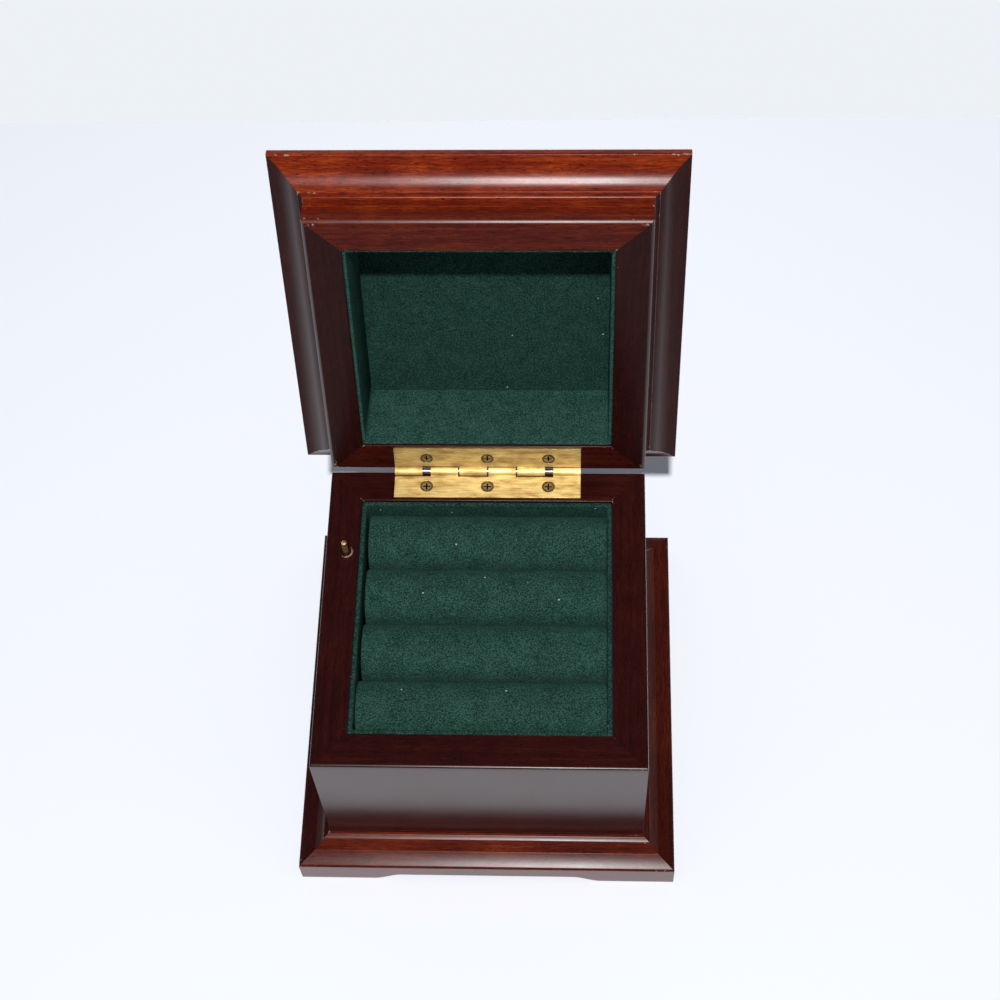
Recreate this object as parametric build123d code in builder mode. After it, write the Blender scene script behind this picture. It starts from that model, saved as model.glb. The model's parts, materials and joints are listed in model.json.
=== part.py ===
"""Square mahogany jewelry box with a hinged lid, ring rolls and a wind-up musical movement.

The origin is the centre of the box's footprint on the table. +X is the box's right,
+Y its back and +Z up. The lid stands open against its stop.
"""

from build123d import *
import math
import os

os.makedirs("parts", exist_ok=True)

# Case: four mitred boards
case_width = 100.0
wall = 10.5
rim_height = 74.0
case_foot = 3.0
rim_round = 0.5
cut_over = 1.0

# Bottom board, let into a rebate from below
rebate = 4.0
bottom_lift = 12.0
bottom_thickness = 3.0
board_slack = 0.2
bottom_screw_spread = 25.0
wood_screw_radius = 1.0
wood_screw_head_radius = 1.8
wood_screw_head_height = 1.0
wood_screw_length = 9.0
pilot_clearance = 0.1

# Plinth: an ogee moulding on bracket feet
plinth_projection = 10.2
plinth_face = 10.8
plinth_height = 16.0
plinth_quirk = 0.4
plinth_waist_in = 3.8
plinth_waist_height = 13.6
plinth_bead = 2.3
plinth_bead_height = 0.8
plinth_swell_sagitta = 0.9
plinth_hollow_sagitta = 0.35
arch_width = 73.5
arch_height = 3.8
arch_ramp = 9.0
arch_ease = 0.45

# Lid: a mitred frame with a deep moulding and a panel let into its top
lid_gap = 0.3
lid_arris = 1.1
lid_wall = 10.8
lid_height = 28.4
lid_quirk_height = 6.75
lid_quirk = 0.25
cove_height = 9.4
cove_radius = 1.3
fillet_width = 0.4
fillet_height = 0.3
nose_width = 2.8
nose_height = 2.8
nose_sagitta = 0.17
lid_projection = 10.5
lid_lip_height = 16.8
lid_sweep_sagitta = 0.8
lid_edge = 3.0
lid_edge_round = 1.0
crown_waist_in = 4.2
crown_waist_height = 22.6
crown_in = 7.6
crown_rise = 1.4
crown_hollow_sagitta = 0.5
crown_swell_sagitta = 0.6
panel_thickness = 2.4
panel_rebate = 4.0
open_angle = 104.5

# Butt hinge, let flush into the rim and the lid frame
hinge_back = 0.3
hinge_length = 59.2
leaf_reach = 9.45
leaf_thickness = 1.0
knuckle_radius = 1.6
knuckle_count = 6
knuckle_gap = 0.4
knuckle_slot = 2.6
hinge_pin_radius = 0.7
running_clearance = 0.05
knuckle_clearance = 0.35
mortise_slack = 0.3
hinge_screw_spread = 19.35
hinge_screw_reach = 5.5
hinge_screw_head_radius = 1.95
hinge_screw_shank_radius = 0.95
hinge_screw_length = 7.0
cross_slot_length = 2.3
cross_slot_width = 0.5
cross_slot_depth = 0.5

# Ring tray: flocked card walls on a board, filled by four soft rolls
tray_card = 1.5
tray_card_drop = 0.6
roll_count = 4
roll_crown_drop = 0.9
roll_gap = 0.3
roll_flat = 0.5
roll_end_gap = 1.0
roll_end_chamfer = 0.6
tray_board_thickness = 3.0
post_size = 7.0

# Lid lining: flocked card
lining_card = 1.0
lining_drop = 0.6
lining_panel_thickness = 1.1

# Stop pin in the left rim, and the pocket in the wall below it
stop_pin_radius = 0.85
stop_pin_hole_slack = 0.25
stop_pin_inset = 6.4
stop_pin_y = 21.3
stop_pin_rise = 6.0
stop_pin_travel = 5.8
stop_pin_tail = 4.75
stop_pin_chamfer = 0.3
collar_radius = 1.7
collar_thickness = 0.8
pocket_width = 5.6
pocket_depth = 7.0
pocket_spare = 5.2
pocket_top = 48.0
seat_gap = 0.3

# Movement bedplate
bed_left = -31.0
bed_right = 25.0
bed_front = -22.0
bed_back = 25.0
bed_thickness = 3.5
bed_corner = 3.0
bed_screw_inset = 3.6
machine_screw_radius = 1.2
machine_screw_head_radius = 2.2
machine_screw_head_height = 1.3

# Spring barrel with crown teeth, on the winding arbor
arbor_x = 12.0
arbor_radius = 2.0
arbor_hole = 3.0
barrel_radius = 12.0
barrel_height = 9.6
barrel_lift = 0.8
crown_teeth = 40
crown_tooth_width = 0.5
crown_tooth_height = 0.9
crown_tooth_inner = 8.6
crown_tooth_outer = 11.6
key_bottom = 2.0
key_hub_radius = 4.2
key_hub_height = 8.6
key_wing_width = 22.0
key_wing_height = 7.4
key_wing_thickness = 2.0
key_wing_round = 3.3
key_socket_floor = 3.0

# Music cylinder, its pinion and its gear
pinion_teeth = 10
pinion_tip = 3.0
pinion_root = 2.0
pinion_width = 2.4
pinion_reach = 10.0
pinion_engagement = 0.5
cylinder_radius = 6.5
cylinder_length = 20.0
tune_pin_count = 4
tune_pin_width = 0.35
tune_pin_rise = 0.3
tune_pin_root = 0.4
tune_track_turn = 137.5
tune_pin_turn = 83.0
axle_radius = 1.2
bearing_thickness = 1.6
bearing_width = 6.0
bearing_gap = 0.4
gear_teeth = 36
gear_module = 0.4
gear_width = 1.6
gear_dedendum = 1.15
gear_addendum = 0.7
tooth_base_share = 0.55
tooth_top_share = 0.25
pinion_tooth_base = 0.7
pinion_tooth_top = 0.35

# Comb
comb_teeth = 18
comb_tip_gap = 0.4
comb_thickness = 1.2
comb_tooth_length = 8.0
comb_treble_length = 5.0
comb_slit = 0.35
comb_back = 7.0
comb_screw_spread = 11.0
comb_seat_over = 0.5

# Governor
governor_teeth = 12
governor_y = 8.0
worm_wheel_teeth = 20
worm_wheel_radius = 4.0
worm_wheel_tooth = 0.7
worm_wheel_width = 1.6
worm_wheel_tooth_base = 0.7
worm_wheel_tooth_top = 0.4
worm_radius = 1.3
worm_gap = 0.15
governor_shaft_radius = 0.6
fly_spindle_radius = 0.5
fly_half_width = 4.5
fly_height = 6.0
fly_thickness = 0.4
fly_hub_radius = 1.2
fly_lift = 0.6
frame_plate = 1.2
frame_sole = 1.5
cheek_half_width = 1.8
cheek_over = 2.0
bridge_width = 2.0
bridge_height = 40.0

# Stop lever
lever_thickness = 0.8
lever_width = 3.0
lever_gap = 0.35
lever_pivot_x = -20.0
lever_pivot_radius = 0.8
lever_end = 1.3
lug_thickness = 1.6
lug_width = 4.0
finger_width = 2.0
finger_thickness = 1.0
finger_reach = 1.4
finger_gap = 1.3

# Worked out from the values above
half = case_width / 2
bore_half = half - wall
board_top = bottom_lift + bottom_thickness
lid_base_height = rim_height + lid_gap
hinge_y = half + hinge_back
plain_gaps = knuckle_count - 3
knuckle_length = (hinge_length - 2 * knuckle_slot - plain_gaps * knuckle_gap) / knuckle_count
hinge_z = rim_height + lid_gap / 2
bed_top = board_top + bed_thickness
recess_half = half - lid_wall
swing = math.radians(open_angle)
lid_rise = lid_base_height - hinge_z
lid_plane = Plane(
    origin=(
        0,
        hinge_y - hinge_y * math.cos(swing) + lid_rise * math.sin(swing),
        hinge_z + hinge_y * math.sin(swing) + lid_rise * math.cos(swing),
    ),
    x_dir=(1, 0, 0),
    z_dir=(0, math.sin(swing), math.cos(swing)),
)
stop_pin_x = -half + stop_pin_inset
collar_bottom = pocket_top - seat_gap - collar_thickness
stop_pin_bottom = collar_bottom - stop_pin_tail
lever_top = stop_pin_bottom - lever_gap
pocket_floor = -bore_half - pocket_depth
pocket_bottom = lever_top - lever_thickness - stop_pin_travel - pocket_spare
case_plane = Plane.XY
SIDES = {"right": 0, "back": 1, "left": 2, "front": 3}


def save(piece, name):
    """Label a finished piece and write its STEP file."""
    piece.part.label = name
    export_step(piece.part, f"parts/{name}.step")


def outward_of(base, side):
    """Direction from the frame's centre towards one of its four sides."""
    return base.x_dir.rotate(Axis(base.origin, base.z_dir), 90 * side)


def profile_plane(base, side):
    """Plane of one side's moulding profile: x runs outwards, y runs up."""
    outward = outward_of(base, side)
    return Plane(origin=base.origin, x_dir=outward, z_dir=outward.cross(base.z_dir))


def facing_plane(base, side):
    """Plane that looks out of one side: x runs along it, y runs up."""
    outward = outward_of(base, side)
    return Plane(origin=base.origin, x_dir=base.z_dir.cross(outward), z_dir=outward)


def mitre_planes(base, side):
    """The two 45 degree planes that cut the ends of one side."""
    outward = outward_of(base, side)
    along = base.z_dir.cross(outward)
    return [
        Plane(origin=base.origin, z_dir=outward + along),
        Plane(origin=base.origin, z_dir=outward - along),
    ]


def cut_mitres(base, side):
    """Cut both ends of the side in the current part to 45 degrees."""
    for mitre in mitre_planes(base, side):
        split(bisect_by=mitre, keep=Keep.TOP)


def case_outline():
    """Section of a case board, with its rebate for the bottom board."""
    Polyline(
        (half - rim_round, rim_height),
        (bore_half, rim_height),
        (bore_half, board_top),
        (bore_half + rebate, board_top),
        (bore_half + rebate, case_foot),
        (half, case_foot),
        (half, rim_height - rim_round),
    )
    CenterArc((half - rim_round, rim_height - rim_round), rim_round, 0, 90)


def plinth_outline():
    """Section of the plinth: a flat face, a quirk, an ogee and a bead against the case."""
    edge = half + plinth_projection
    quirk = (edge - plinth_quirk, plinth_face + plinth_quirk)
    waist = (edge - plinth_waist_in, plinth_waist_height)
    bead = (half + plinth_bead, plinth_height - plinth_bead_height)
    Polyline(bead, (half + plinth_bead, plinth_height), (half, plinth_height), (half, 0), (edge, 0))
    Polyline((edge, 0), (edge, plinth_face), quirk)
    SagittaArc(quirk, waist, -plinth_swell_sagitta)
    SagittaArc(waist, bead, plinth_hollow_sagitta)


def lid_outline():
    """Section of a lid rail: frame below, cove, nose and sweep out to the lip, ogee above."""
    lip = half + lid_projection
    cove_end = half + cove_radius + fillet_width
    cove_top = cove_height + cove_radius
    nose_start = (cove_end, cove_top + fillet_height)
    nose_end = (cove_end + nose_width, nose_start[1] + nose_height)
    edge_top = lid_lip_height + lid_edge
    crown_waist = (lip - crown_waist_in, crown_waist_height)
    crown = (lip - crown_in, lid_height - crown_rise)
    Polyline(
        crown,
        (lip - crown_in, lid_height),
        (recess_half + panel_rebate, lid_height),
        (recess_half + panel_rebate, lid_height - panel_thickness),
        (recess_half, lid_height - panel_thickness),
        (recess_half, 0),
        (half - lid_arris, 0),
    )
    CenterArc((half - lid_arris, lid_arris), lid_arris, -90, 90)
    Polyline(
        (half, lid_arris),
        (half, lid_quirk_height - lid_quirk),
        (half - lid_quirk, lid_quirk_height),
        (half, lid_quirk_height + lid_quirk),
        (half, cove_height),
    )
    CenterArc((half + cove_radius, cove_height), cove_radius, 180, -90)
    Polyline((half + cove_radius, cove_top), (cove_end, cove_top), nose_start)
    SagittaArc(nose_start, nose_end, -nose_sagitta)
    SagittaArc(nose_end, (lip, lid_lip_height), lid_sweep_sagitta)
    Line((lip, lid_lip_height), (lip, edge_top - lid_edge_round))
    CenterArc((lip - lid_edge_round, edge_top - lid_edge_round), lid_edge_round, 0, 90)
    SagittaArc((lip - lid_edge_round, edge_top), crown_waist, crown_hollow_sagitta)
    SagittaArc(crown_waist, crown, -crown_swell_sagitta)


def arch_outline():
    """The opening between two bracket feet, rising by a soft ramp at each end."""
    low = -arch_width / 2
    high = low + arch_ramp
    ease = arch_ramp * arch_ease
    Bezier((low, 0), (low + ease, 0), (high - ease, arch_height), (high, arch_height))
    Line((high, arch_height), (-high, arch_height))
    Bezier((-high, arch_height), (-high + ease, arch_height), (-low - ease, 0), (-low, 0))
    Polyline((-low, 0), (-low, -cut_over), (low, -cut_over), (low, 0))


def hinge_plane(base, height):
    """Plane across a mating face at a height, with its origin on the hinge's middle line."""
    middle = base.from_local_coords(Vector(0, hinge_y, height))
    return Plane(origin=middle, x_dir=base.x_dir, z_dir=base.z_dir)


def spindle_plane(x):
    """Plane across the hinge pin at x, turned so that its own x runs to the front."""
    return Plane(origin=(x, hinge_y, hinge_z), x_dir=(0, -1, 0), z_dir=(1, 0, 0))


def screw_places():
    """The three screw places of a leaf, from the hinge's middle line."""
    return [(place * hinge_screw_spread, -hinge_screw_reach) for place in (-1, 0, 1)]


def mortise(base, face_height, depth):
    """Cut the let-in place of one leaf and the relief round the knuckles."""
    mortise_width = hinge_length + 2 * mortise_slack
    mortise_reach = leaf_reach + mortise_slack
    with BuildSketch(hinge_plane(base, face_height)) as seat:
        with Locations((0, -mortise_reach / 2)):
            Rectangle(mortise_width, mortise_reach)
    extrude(seat.sketch, amount=depth, mode=Mode.SUBTRACT)
    with BuildSketch(spindle_plane(-mortise_width / 2)) as relief:
        Circle(knuckle_radius + mortise_slack)
    extrude(relief.sketch, amount=mortise_width, mode=Mode.SUBTRACT)


def screw_holes(base, face_height, depth):
    """Bore the pilot holes for one leaf's screws."""
    with BuildSketch(hinge_plane(base, face_height)) as pilots:
        with Locations(*screw_places()):
            Circle(hinge_screw_shank_radius + pilot_clearance)
    extrude(pilots.sketch, amount=depth, mode=Mode.SUBTRACT)


for name, side in SIDES.items():
    with BuildPart() as case_board:
        with BuildSketch(profile_plane(case_plane, side)):
            with BuildLine():
                case_outline()
            make_face()
        extrude(amount=half, both=True)
        cut_mitres(case_plane, side)
        if name == "back":
            mortise(case_plane, rim_height, -leaf_thickness)
            screw_holes(case_plane, rim_height, -hinge_screw_length - leaf_thickness)
        if name == "left":
            with BuildSketch(Plane.XY.offset(pocket_bottom)):
                with Locations((pocket_floor + pocket_depth / 2, stop_pin_y)):
                    Rectangle(pocket_depth, pocket_width)
            extrude(amount=pocket_top - pocket_bottom, mode=Mode.SUBTRACT)
            with BuildSketch(Plane.XY.offset(pocket_top)):
                with Locations((stop_pin_x, stop_pin_y)):
                    Circle(stop_pin_radius + stop_pin_hole_slack)
            extrude(amount=rim_height - pocket_top, mode=Mode.SUBTRACT)
        if name in ("left", "right"):
            middle = outward_of(case_plane, side).X * (bore_half + rebate / 2)
            with BuildSketch(Plane.XY.offset(board_top)):
                for place in (-1, 1):
                    with Locations((middle, place * bottom_screw_spread)):
                        Circle(wood_screw_radius + pilot_clearance)
            extrude(amount=wood_screw_length - bottom_thickness, mode=Mode.SUBTRACT)
    save(case_board, f"case_{name}")

    with BuildPart() as plinth_rail:
        with BuildSketch(profile_plane(case_plane, side)):
            with BuildLine():
                plinth_outline()
            make_face()
        extrude(amount=half + plinth_projection, both=True)
        cut_mitres(case_plane, side)
        with BuildSketch(facing_plane(case_plane, side)):
            with BuildLine():
                arch_outline()
            make_face()
        extrude(amount=half + plinth_projection + cut_over, mode=Mode.SUBTRACT)
    save(plinth_rail, f"plinth_{name}")

    with BuildPart() as lid_rail:
        with BuildSketch(profile_plane(lid_plane, side)):
            with BuildLine():
                lid_outline()
            make_face()
        extrude(amount=half + lid_projection, both=True)
        cut_mitres(lid_plane, side)
        if name == "back":
            mortise(lid_plane, 0, leaf_thickness)
            screw_holes(lid_plane, 0, hinge_screw_length + leaf_thickness)
    save(lid_rail, f"lid_rail_{name}")

# Board under the box, with the hole for the winding arbor
bed_screws = [
    (bed_left + bed_screw_inset, bed_front + bed_screw_inset),
    (bed_right - bed_screw_inset, bed_front + bed_screw_inset),
    ((bed_left + bed_right) / 2, bed_back - bed_screw_inset),
]
rail_screws = [
    (across * (bore_half + rebate / 2), along * bottom_screw_spread)
    for across in (-1, 1)
    for along in (-1, 1)
]

with BuildPart() as bottom_board:
    with BuildSketch(Plane.XY.offset(bottom_lift)):
        Rectangle(2 * (bore_half + rebate - board_slack), 2 * (bore_half + rebate - board_slack))
        with Locations((arbor_x, 0)):
            Circle(arbor_hole, mode=Mode.SUBTRACT)
        with Locations(*bed_screws):
            Circle(machine_screw_radius + pilot_clearance, mode=Mode.SUBTRACT)
        with Locations(*rail_screws):
            Circle(wood_screw_radius + pilot_clearance, mode=Mode.SUBTRACT)
    extrude(amount=bottom_thickness)
save(bottom_board, "bottom_board")

with BuildPart() as bottom_screws:
    with BuildSketch(Plane.XY.offset(bottom_lift - wood_screw_head_height)):
        with Locations(*rail_screws):
            Circle(wood_screw_head_radius)
    extrude(amount=wood_screw_head_height)
    with BuildSketch(Plane.XY.offset(bottom_lift)):
        with Locations(*rail_screws):
            Circle(wood_screw_radius)
    extrude(amount=wood_screw_length - seat_gap)
save(bottom_screws, "bottom_screws")

# Ring tray
card_inside = bore_half - tray_card
roll_pitch = 2 * card_inside / roll_count
roll_radius = roll_pitch / 2 - roll_gap / 2
roll_centre_z = rim_height - roll_crown_drop - roll_radius
tray_top = roll_centre_z - roll_radius + roll_flat
tray_bottom = tray_top - tray_board_thickness

with BuildPart() as corner_posts:
    with BuildSketch(Plane.XY.offset(board_top)):
        with GridLocations(2 * bore_half - post_size, 2 * bore_half - post_size, 2, 2):
            Rectangle(post_size, post_size)
    extrude(amount=tray_bottom - board_top)
save(corner_posts, "corner_posts")

with BuildPart() as tray_board:
    with BuildSketch(Plane.XY.offset(tray_bottom)):
        Rectangle(2 * (bore_half - board_slack), 2 * (bore_half - board_slack))
    extrude(amount=tray_board_thickness)
save(tray_board, "tray_board")

with BuildPart() as tray_lining:
    with BuildSketch(Plane.XY.offset(tray_top)):
        Rectangle(2 * bore_half, 2 * bore_half)
        Rectangle(2 * card_inside, 2 * card_inside, mode=Mode.SUBTRACT)
    extrude(amount=rim_height - tray_card_drop - tray_top)
save(tray_lining, "tray_lining")

roll_right = card_inside - roll_gap
for index in range(roll_count):
    roll_y = -card_inside + roll_pitch * (index + 0.5)
    roll_left = -card_inside + (roll_gap if index == 0 else roll_end_gap)
    with BuildPart() as ring_roll:
        roll_start = (roll_left, roll_y, roll_centre_z)
        with BuildSketch(Plane(origin=roll_start, x_dir=(0, 1, 0), z_dir=(1, 0, 0))):
            Circle(roll_radius)
        extrude(amount=roll_right - roll_left)
        chamfer(ring_roll.edges().filter_by(GeomType.CIRCLE), length=roll_end_chamfer)
        split(bisect_by=Plane.XY.offset(tray_top), keep=Keep.TOP)
    save(ring_roll, f"ring_roll_{index + 1}")

# Lid panel and lining
lining_top = lid_height - panel_thickness
lining_bottom = lining_top - lining_panel_thickness

with BuildPart() as lid_panel:
    with BuildSketch(lid_plane.offset(lining_top)):
        Rectangle(2 * (recess_half + panel_rebate), 2 * (recess_half + panel_rebate))
    extrude(amount=panel_thickness)
save(lid_panel, "lid_panel")

with BuildPart() as lid_lining_panel:
    with BuildSketch(lid_plane.offset(lining_bottom)):
        Rectangle(2 * recess_half, 2 * recess_half)
    extrude(amount=lining_panel_thickness)
save(lid_lining_panel, "lid_lining_panel")

with BuildPart() as lid_lining_walls:
    with BuildSketch(lid_plane.offset(lining_drop)):
        Rectangle(2 * recess_half, 2 * recess_half)
        Rectangle(2 * (recess_half - lining_card), 2 * (recess_half - lining_card), mode=Mode.SUBTRACT)
    extrude(amount=lining_bottom - lining_drop)
save(lid_lining_walls, "lid_lining_walls")


def knuckle_starts():
    """Left ends of the six knuckles, which the upper and lower leaf share in turn."""
    starts = [-hinge_length / 2]
    for gap in (knuckle_slot, knuckle_gap, knuckle_gap, knuckle_gap, knuckle_slot):
        starts.append(starts[-1] + knuckle_length + gap)
    return starts


def leaf(base, face_height, depth, own, other):
    """One hinge leaf: a plate with its own knuckles, cut back for those of the other leaf."""
    with BuildSketch(hinge_plane(base, face_height)) as plate:
        with Locations((0, -leaf_reach / 2)):
            Rectangle(hinge_length, leaf_reach)
    extrude(plate.sketch, amount=depth)
    for start in own:
        with BuildSketch(spindle_plane(start)) as knuckle:
            Circle(knuckle_radius)
        extrude(knuckle.sketch, amount=knuckle_length)
    open_gaps = [(start - knuckle_gap, knuckle_length + 2 * knuckle_gap) for start in other]
    for start in own:
        open_gaps.append((start + knuckle_length, knuckle_gap))
        open_gaps.append((start - knuckle_gap, knuckle_gap))
    open_gaps.append((knuckle_starts()[0] + knuckle_length, knuckle_slot))
    open_gaps.append((knuckle_starts()[4] + knuckle_length, knuckle_slot))
    for start, length in open_gaps:
        with BuildSketch(spindle_plane(start)) as notch:
            Circle(knuckle_radius + knuckle_clearance)
        extrude(notch.sketch, amount=length, mode=Mode.SUBTRACT)
    with BuildSketch(spindle_plane(-hinge_length / 2)) as bore:
        Circle(hinge_pin_radius + running_clearance)
    extrude(bore.sketch, amount=hinge_length, mode=Mode.SUBTRACT)


def cone_stack(base, face_height, depth, top_radius, bottom_radius, mode):
    """Cones at the three screw places, wide at the leaf's face."""
    for place in screw_places():
        with BuildSketch(hinge_plane(base, face_height)) as wide:
            with Locations(place):
                Circle(top_radius)
        with BuildSketch(hinge_plane(base, face_height + depth)) as narrow:
            with Locations(place):
                Circle(bottom_radius)
        loft([wide.sketch.face(), narrow.sketch.face()], mode=mode)


def hinge_screws(base, face_height, depth, length):
    """Three countersunk cross-head screws."""
    cone_stack(base, face_height, depth, hinge_screw_head_radius, hinge_screw_shank_radius, Mode.ADD)
    with BuildSketch(hinge_plane(base, face_height + depth)) as shank:
        with Locations(*screw_places()):
            Circle(hinge_screw_shank_radius)
    extrude(shank.sketch, amount=length)
    with BuildSketch(hinge_plane(base, face_height)) as cross:
        with Locations(*screw_places()):
            Rectangle(cross_slot_length, cross_slot_width)
            Rectangle(cross_slot_width, cross_slot_length)
    extrude(cross.sketch, amount=math.copysign(cross_slot_depth, depth), mode=Mode.SUBTRACT)


starts = knuckle_starts()
upper_knuckles = starts[0::2]
lower_knuckles = starts[1::2]
leaf_cut = hinge_screw_head_radius + running_clearance
leaf_cut_bottom = hinge_screw_shank_radius + running_clearance

with BuildPart() as hinge_leaf_lower:
    leaf(case_plane, rim_height, -leaf_thickness, lower_knuckles, upper_knuckles)
    cone_stack(case_plane, rim_height, -leaf_thickness, leaf_cut, leaf_cut_bottom, Mode.SUBTRACT)
save(hinge_leaf_lower, "hinge_leaf_lower")

with BuildPart() as hinge_leaf_upper:
    leaf(lid_plane, 0, leaf_thickness, upper_knuckles, lower_knuckles)
    cone_stack(lid_plane, 0, leaf_thickness, leaf_cut, leaf_cut_bottom, Mode.SUBTRACT)
save(hinge_leaf_upper, "hinge_leaf_upper")

with BuildPart() as hinge_screws_lower:
    hinge_screws(case_plane, rim_height, -leaf_thickness, -hinge_screw_length + seat_gap)
save(hinge_screws_lower, "hinge_screws_lower")

with BuildPart() as hinge_screws_upper:
    hinge_screws(lid_plane, 0, leaf_thickness, hinge_screw_length - seat_gap)
save(hinge_screws_upper, "hinge_screws_upper")

with BuildPart() as hinge_pin:
    with BuildSketch(spindle_plane(-hinge_length / 2)):
        Circle(hinge_pin_radius)
    extrude(amount=hinge_length)
save(hinge_pin, "hinge_pin")

# Movement
crown_top = bed_top + barrel_lift + barrel_height + crown_tooth_height
axle_z = crown_top - pinion_engagement + pinion_tip
pinion_x = arbor_x - pinion_reach
right_bearing_x = arbor_x - barrel_radius - bearing_gap - bearing_thickness
cylinder_right = right_bearing_x - bearing_gap
cylinder_left = cylinder_right - cylinder_length
gear_x = cylinder_left - bearing_gap - gear_width
left_bearing_x = gear_x - bearing_gap - bearing_thickness
gear_pitch_radius = gear_teeth * gear_module / 2
governor_pitch_radius = governor_teeth * gear_module / 2
gear_distance = gear_pitch_radius + governor_pitch_radius
governor_z = axle_z - math.sqrt(gear_distance**2 - governor_y**2)
comb_z = axle_z - comb_thickness / 2
comb_tip_y = -cylinder_radius - comb_tip_gap
comb_root_y = comb_tip_y - comb_tooth_length
comb_back_y = comb_root_y - comb_back
lever_pin_z = lever_top - lever_thickness / 2
lug_y = stop_pin_y + lever_width / 2 + seat_gap
comb_middle_x = (cylinder_left + cylinder_right) / 2
comb_screw_places = [
    (comb_middle_x + place * comb_screw_spread / 2, comb_root_y - comb_back / 2) for place in (-1, 1)
]
comb_pitch = cylinder_length / comb_teeth
bearings = right_bearing_x + bearing_thickness - left_bearing_x

with BuildPart() as bedplate:
    with BuildSketch(Plane.XY.offset(board_top)):
        with Locations(((bed_left + bed_right) / 2, (bed_front + bed_back) / 2)):
            RectangleRounded(bed_right - bed_left, bed_back - bed_front, bed_corner)
    extrude(amount=bed_thickness)
    with BuildSketch(Plane.XY.offset(bed_top)):
        for bearing_x in (right_bearing_x, left_bearing_x):
            with Locations((bearing_x + bearing_thickness / 2, 0)):
                Rectangle(bearing_thickness, bearing_width)
    extrude(amount=axle_z + bearing_width / 2 - bed_top)
    with BuildSketch(Plane.XY.offset(bed_top)):
        with Locations((comb_middle_x, (comb_root_y + bed_front) / 2)):
            Rectangle(cylinder_length + 2 * comb_seat_over, comb_root_y - bed_front)
    extrude(amount=comb_z - bed_top)
    with BuildSketch(Plane.XY.offset(bed_top)):
        with Locations((lever_pivot_x, lug_y + lug_thickness / 2)):
            Rectangle(lug_width, lug_thickness)
    extrude(amount=lever_pin_z + lug_width / 2 - bed_top)
    with BuildSketch(Plane.YZ.offset(left_bearing_x)):
        with Locations((0, axle_z)):
            Circle(axle_radius + running_clearance)
    extrude(amount=bearings, mode=Mode.SUBTRACT)
    with BuildSketch(Plane.XZ.offset(-lug_y - lug_thickness)):
        with Locations((lever_pivot_x, lever_pin_z)):
            Circle(lever_pivot_radius + running_clearance)
    extrude(amount=lug_thickness, mode=Mode.SUBTRACT)
    with BuildSketch(Plane.XY.offset(board_top)):
        with Locations((arbor_x, 0)):
            Circle(arbor_radius + running_clearance)
        with Locations(*bed_screws):
            Circle(machine_screw_radius + running_clearance)
    extrude(amount=bed_thickness, mode=Mode.SUBTRACT)
    with BuildSketch(Plane.XY.offset(bed_top)):
        with Locations(*comb_screw_places):
            Circle(machine_screw_radius + running_clearance)
    extrude(amount=comb_z - bed_top, mode=Mode.SUBTRACT)
save(bedplate, "movement_bedplate")

with BuildPart() as movement_screws:
    with BuildSketch(Plane.XY.offset(bottom_lift - machine_screw_head_height)):
        with Locations(*bed_screws):
            Circle(machine_screw_head_radius)
    extrude(amount=machine_screw_head_height)
    with BuildSketch(Plane.XY.offset(bottom_lift)):
        with Locations(*bed_screws):
            Circle(machine_screw_radius)
    extrude(amount=bottom_thickness + bed_thickness)
save(movement_screws, "movement_screws")

with BuildPart() as comb:
    with BuildSketch(Plane.XY.offset(comb_z)):
        with Locations((comb_middle_x, (comb_tip_y + comb_back_y) / 2)):
            Rectangle(cylinder_length, comb_tip_y - comb_back_y)
        for slit in range(comb_teeth - 1):
            shorter = (comb_tooth_length - comb_treble_length) * slit / (comb_teeth - 2)
            slit_x = cylinder_left + comb_pitch * (slit + 1)
            with Locations((slit_x, comb_tip_y)):
                slit_length = comb_tooth_length - shorter
                Rectangle(comb_slit, slit_length, align=(Align.CENTER, Align.MAX), mode=Mode.SUBTRACT)
        with Locations(*comb_screw_places):
            Circle(machine_screw_radius + running_clearance, mode=Mode.SUBTRACT)
    extrude(amount=comb_thickness)
save(comb, "comb")

with BuildPart() as comb_screws:
    with BuildSketch(Plane.XY.offset(comb_z + comb_thickness)):
        with Locations(*comb_screw_places):
            Circle(machine_screw_head_radius)
    extrude(amount=machine_screw_head_height)
    with BuildSketch(Plane.XY.offset(bed_top + seat_gap)):
        with Locations(*comb_screw_places):
            Circle(machine_screw_radius)
    extrude(amount=comb_z + comb_thickness - bed_top - seat_gap)
save(comb_screws, "comb_screws")

with BuildPart() as winding_arbor:
    with BuildSketch(Plane.XY.offset(key_bottom + key_socket_floor)):
        with Locations((arbor_x, 0)):
            Circle(arbor_radius)
    extrude(amount=crown_top - key_bottom - key_socket_floor)
save(winding_arbor, "winding_arbor")

with BuildPart() as winding_key:
    with BuildSketch(Plane.XY.offset(key_bottom)):
        with Locations((arbor_x, 0)):
            Circle(key_hub_radius)
    extrude(amount=key_hub_height)
    wing_start = (arbor_x, key_wing_thickness / 2, key_bottom)
    with BuildSketch(Plane(origin=wing_start, x_dir=(1, 0, 0), z_dir=(0, -1, 0))):
        with Locations((0, key_wing_height / 2)):
            RectangleRounded(key_wing_width, key_wing_height, key_wing_round)
    extrude(amount=key_wing_thickness)
    with BuildSketch(Plane.XY.offset(key_bottom + key_socket_floor)):
        with Locations((arbor_x, 0)):
            Circle(arbor_radius)
    extrude(amount=key_hub_height, mode=Mode.SUBTRACT)
save(winding_key, "winding_key")

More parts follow.
